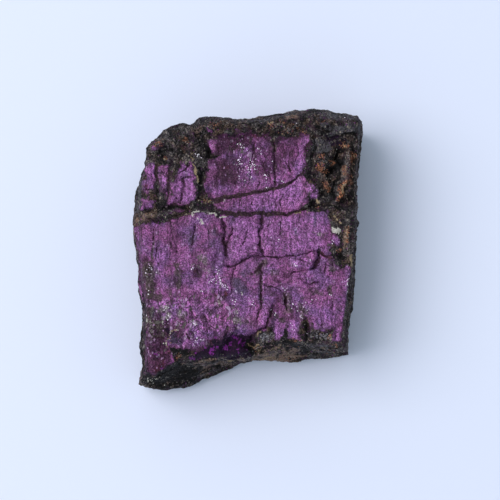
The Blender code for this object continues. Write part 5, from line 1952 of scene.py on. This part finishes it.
@dataclass(frozen=True)
class Studio:
    """The pale floor, the soft light from the left, and the camera that looks down on the slab."""

    focal_length: float = 148.0
    camera_place: Triple = (0.669, -28.874, 185.559)
    camera_right: Triple = (0.99988, -0.01418, -0.00562)
    camera_up: Triple = (0.01489, 0.98756, 0.15654)
    floor_half: float = 0.6
    floor_colour: Colour = (0.71, 0.755, 0.93)
    sky_colour: Colour = (0.85, 0.96, 1.0)
    sky_low: float = 0.85
    sky_top: float = 0.45
    sky_left: float = 1.3
    sky_right: float = 0.7
    key_place: Triple = (-0.34, 0.08, 0.42)
    key_size: float = 0.5
    key_power: float = 2.3
    key_colour: Colour = (1.0, 0.955, 0.935)

    def floor(self) -> Piece:
        """Makes the plain pale floor."""
        half = self.floor_half
        mesh = bpy.data.meshes.new("floor")
        corners = [(-half, -half, 0.0), (half, -half, 0.0), (half, half, 0.0), (-half, half, 0.0)]
        mesh.from_pydata(corners, [], [(0, 1, 2, 3)])
        bench = ShaderBench("pale floor")
        bench.set({"Base Color": (*self.floor_colour, 1.0), "Roughness": 0.9})
        mesh.materials.append(bench.material)
        floor = in_scene("floor", mesh)
        return floor

    def sky(self) -> None:
        """Sets a soft sky, dim overhead so that the flat face doesn't mirror it towards the camera."""
        world = bpy.data.worlds.new("soft sky")
        world.use_nodes = True
        bench = Bench(world.node_tree)
        direction = bench.node("ShaderNodeTexCoord").outputs["Generated"]
        axes = bench.node("ShaderNodeSeparateXYZ", {0: direction}).outputs
        names = ("Value", "From Min", "From Max", "To Min", "To Max")
        rise = (axes["Z"], 0.55, 0.92, self.sky_low, self.sky_top)
        side = (axes["X"], -0.8, 0.8, self.sky_left, self.sky_right)
        ramps = [
            bench.node("ShaderNodeMapRange", dict(zip(names, limits)), interpolation_type="SMOOTHSTEP")
            for limits in (rise, side)
        ]
        background = world.node_tree.nodes["Background"]
        bench.feed(background.inputs["Color"], (*self.sky_colour, 1.0))
        bench.feed(background.inputs["Strength"], bench.times(*(ramp.outputs[0] for ramp in ramps)))
        bpy.context.scene.world = world

    def key(self) -> None:
        """Sets the large soft light at the left."""
        light = bpy.data.lights.new("key", "AREA")
        light.shape = "DISK"
        light.size = self.key_size
        light.energy = self.key_power
        light.color = self.key_colour
        key = in_scene("key", light)
        key.location = self.key_place
        key.rotation_euler = (-Vector(self.key_place)).to_track_quat("-Z", "Y").to_euler()

    def camera(self) -> None:
        """Sets the camera where the picture was taken from."""
        lens = bpy.data.cameras.new("camera")
        lens.lens = self.focal_length
        lens.sensor_width = 36.0
        lens.clip_start = MM
        camera = in_scene("camera", lens)
        right, up = Vector(self.camera_right), Vector(self.camera_up)
        turned = Matrix((right, up, right.cross(up))).transposed()
        camera.matrix_world = Matrix.Translation(Vector(self.camera_place) * MM) @ turned.to_4x4()
        bpy.context.scene.camera = camera

    def build(self) -> None:
        """Sets up the whole studio."""
        self.floor()
        self.sky()
        self.key()
        self.camera()
        bpy.context.scene.view_settings.view_transform = "Standard"


CRUSTS = (
    # painted highlight: the flakes are near white, so they show as glints whichever way they face
    Strewn(
        "cleavage_glints",
        PlainFinish("bright cleavage flakes", (0.96, 0.92, 1.0), (0.72, 0.55, 0.80), 0.3),
        Form.FLAKE, Tint.SPARKLE.value, 36.0, 0.02, 0.085, 0.5, 0.4, 3,
    ),
    Strewn(
        "white_crust",
        PlainFinish("pale crust", (0.78, 0.75, 0.69), (0.3, 0.26, 0.21), 0.75),
        Form.CRUMB, Tint.PALE.value, 30.0, 0.025, 0.075, 0.6, 0.7, 5,
    ),
    Strewn(
        "rusty_grains",
        PlainFinish("rusty grains", (0.29, 0.105, 0.052), (0.10, 0.038, 0.024), 0.6),
        Form.CRUMB, Tint.RUST.value, 16.0, 0.025, 0.08, 0.6, 0.7, 7,
    ),
    Strewn(
        "rind_grains",
        PlainFinish("dark rind grains", (0.03, 0.024, 0.022), (0.13, 0.115, 0.105), 0.55),
        Form.CRUMB, "rind", 2.4, 0.03, 0.1, 0.6, 0.6, 9,
    ),
)


def main() -> None:
    """Builds the studio, the stone and what lies on it."""
    logging.basicConfig(level=logging.INFO, format="%(message)s")
    Studio().build()
    stone = Slab().build()
    LOG.info("%s: %d faces", stone.name, len(stone.data.polygons))
    for strewn in CRUSTS:
        piece = strewn.build(stone)
        LOG.info("%s: %d faces", piece.name, len(piece.data.polygons))


if __name__ == "__main__":
    main()
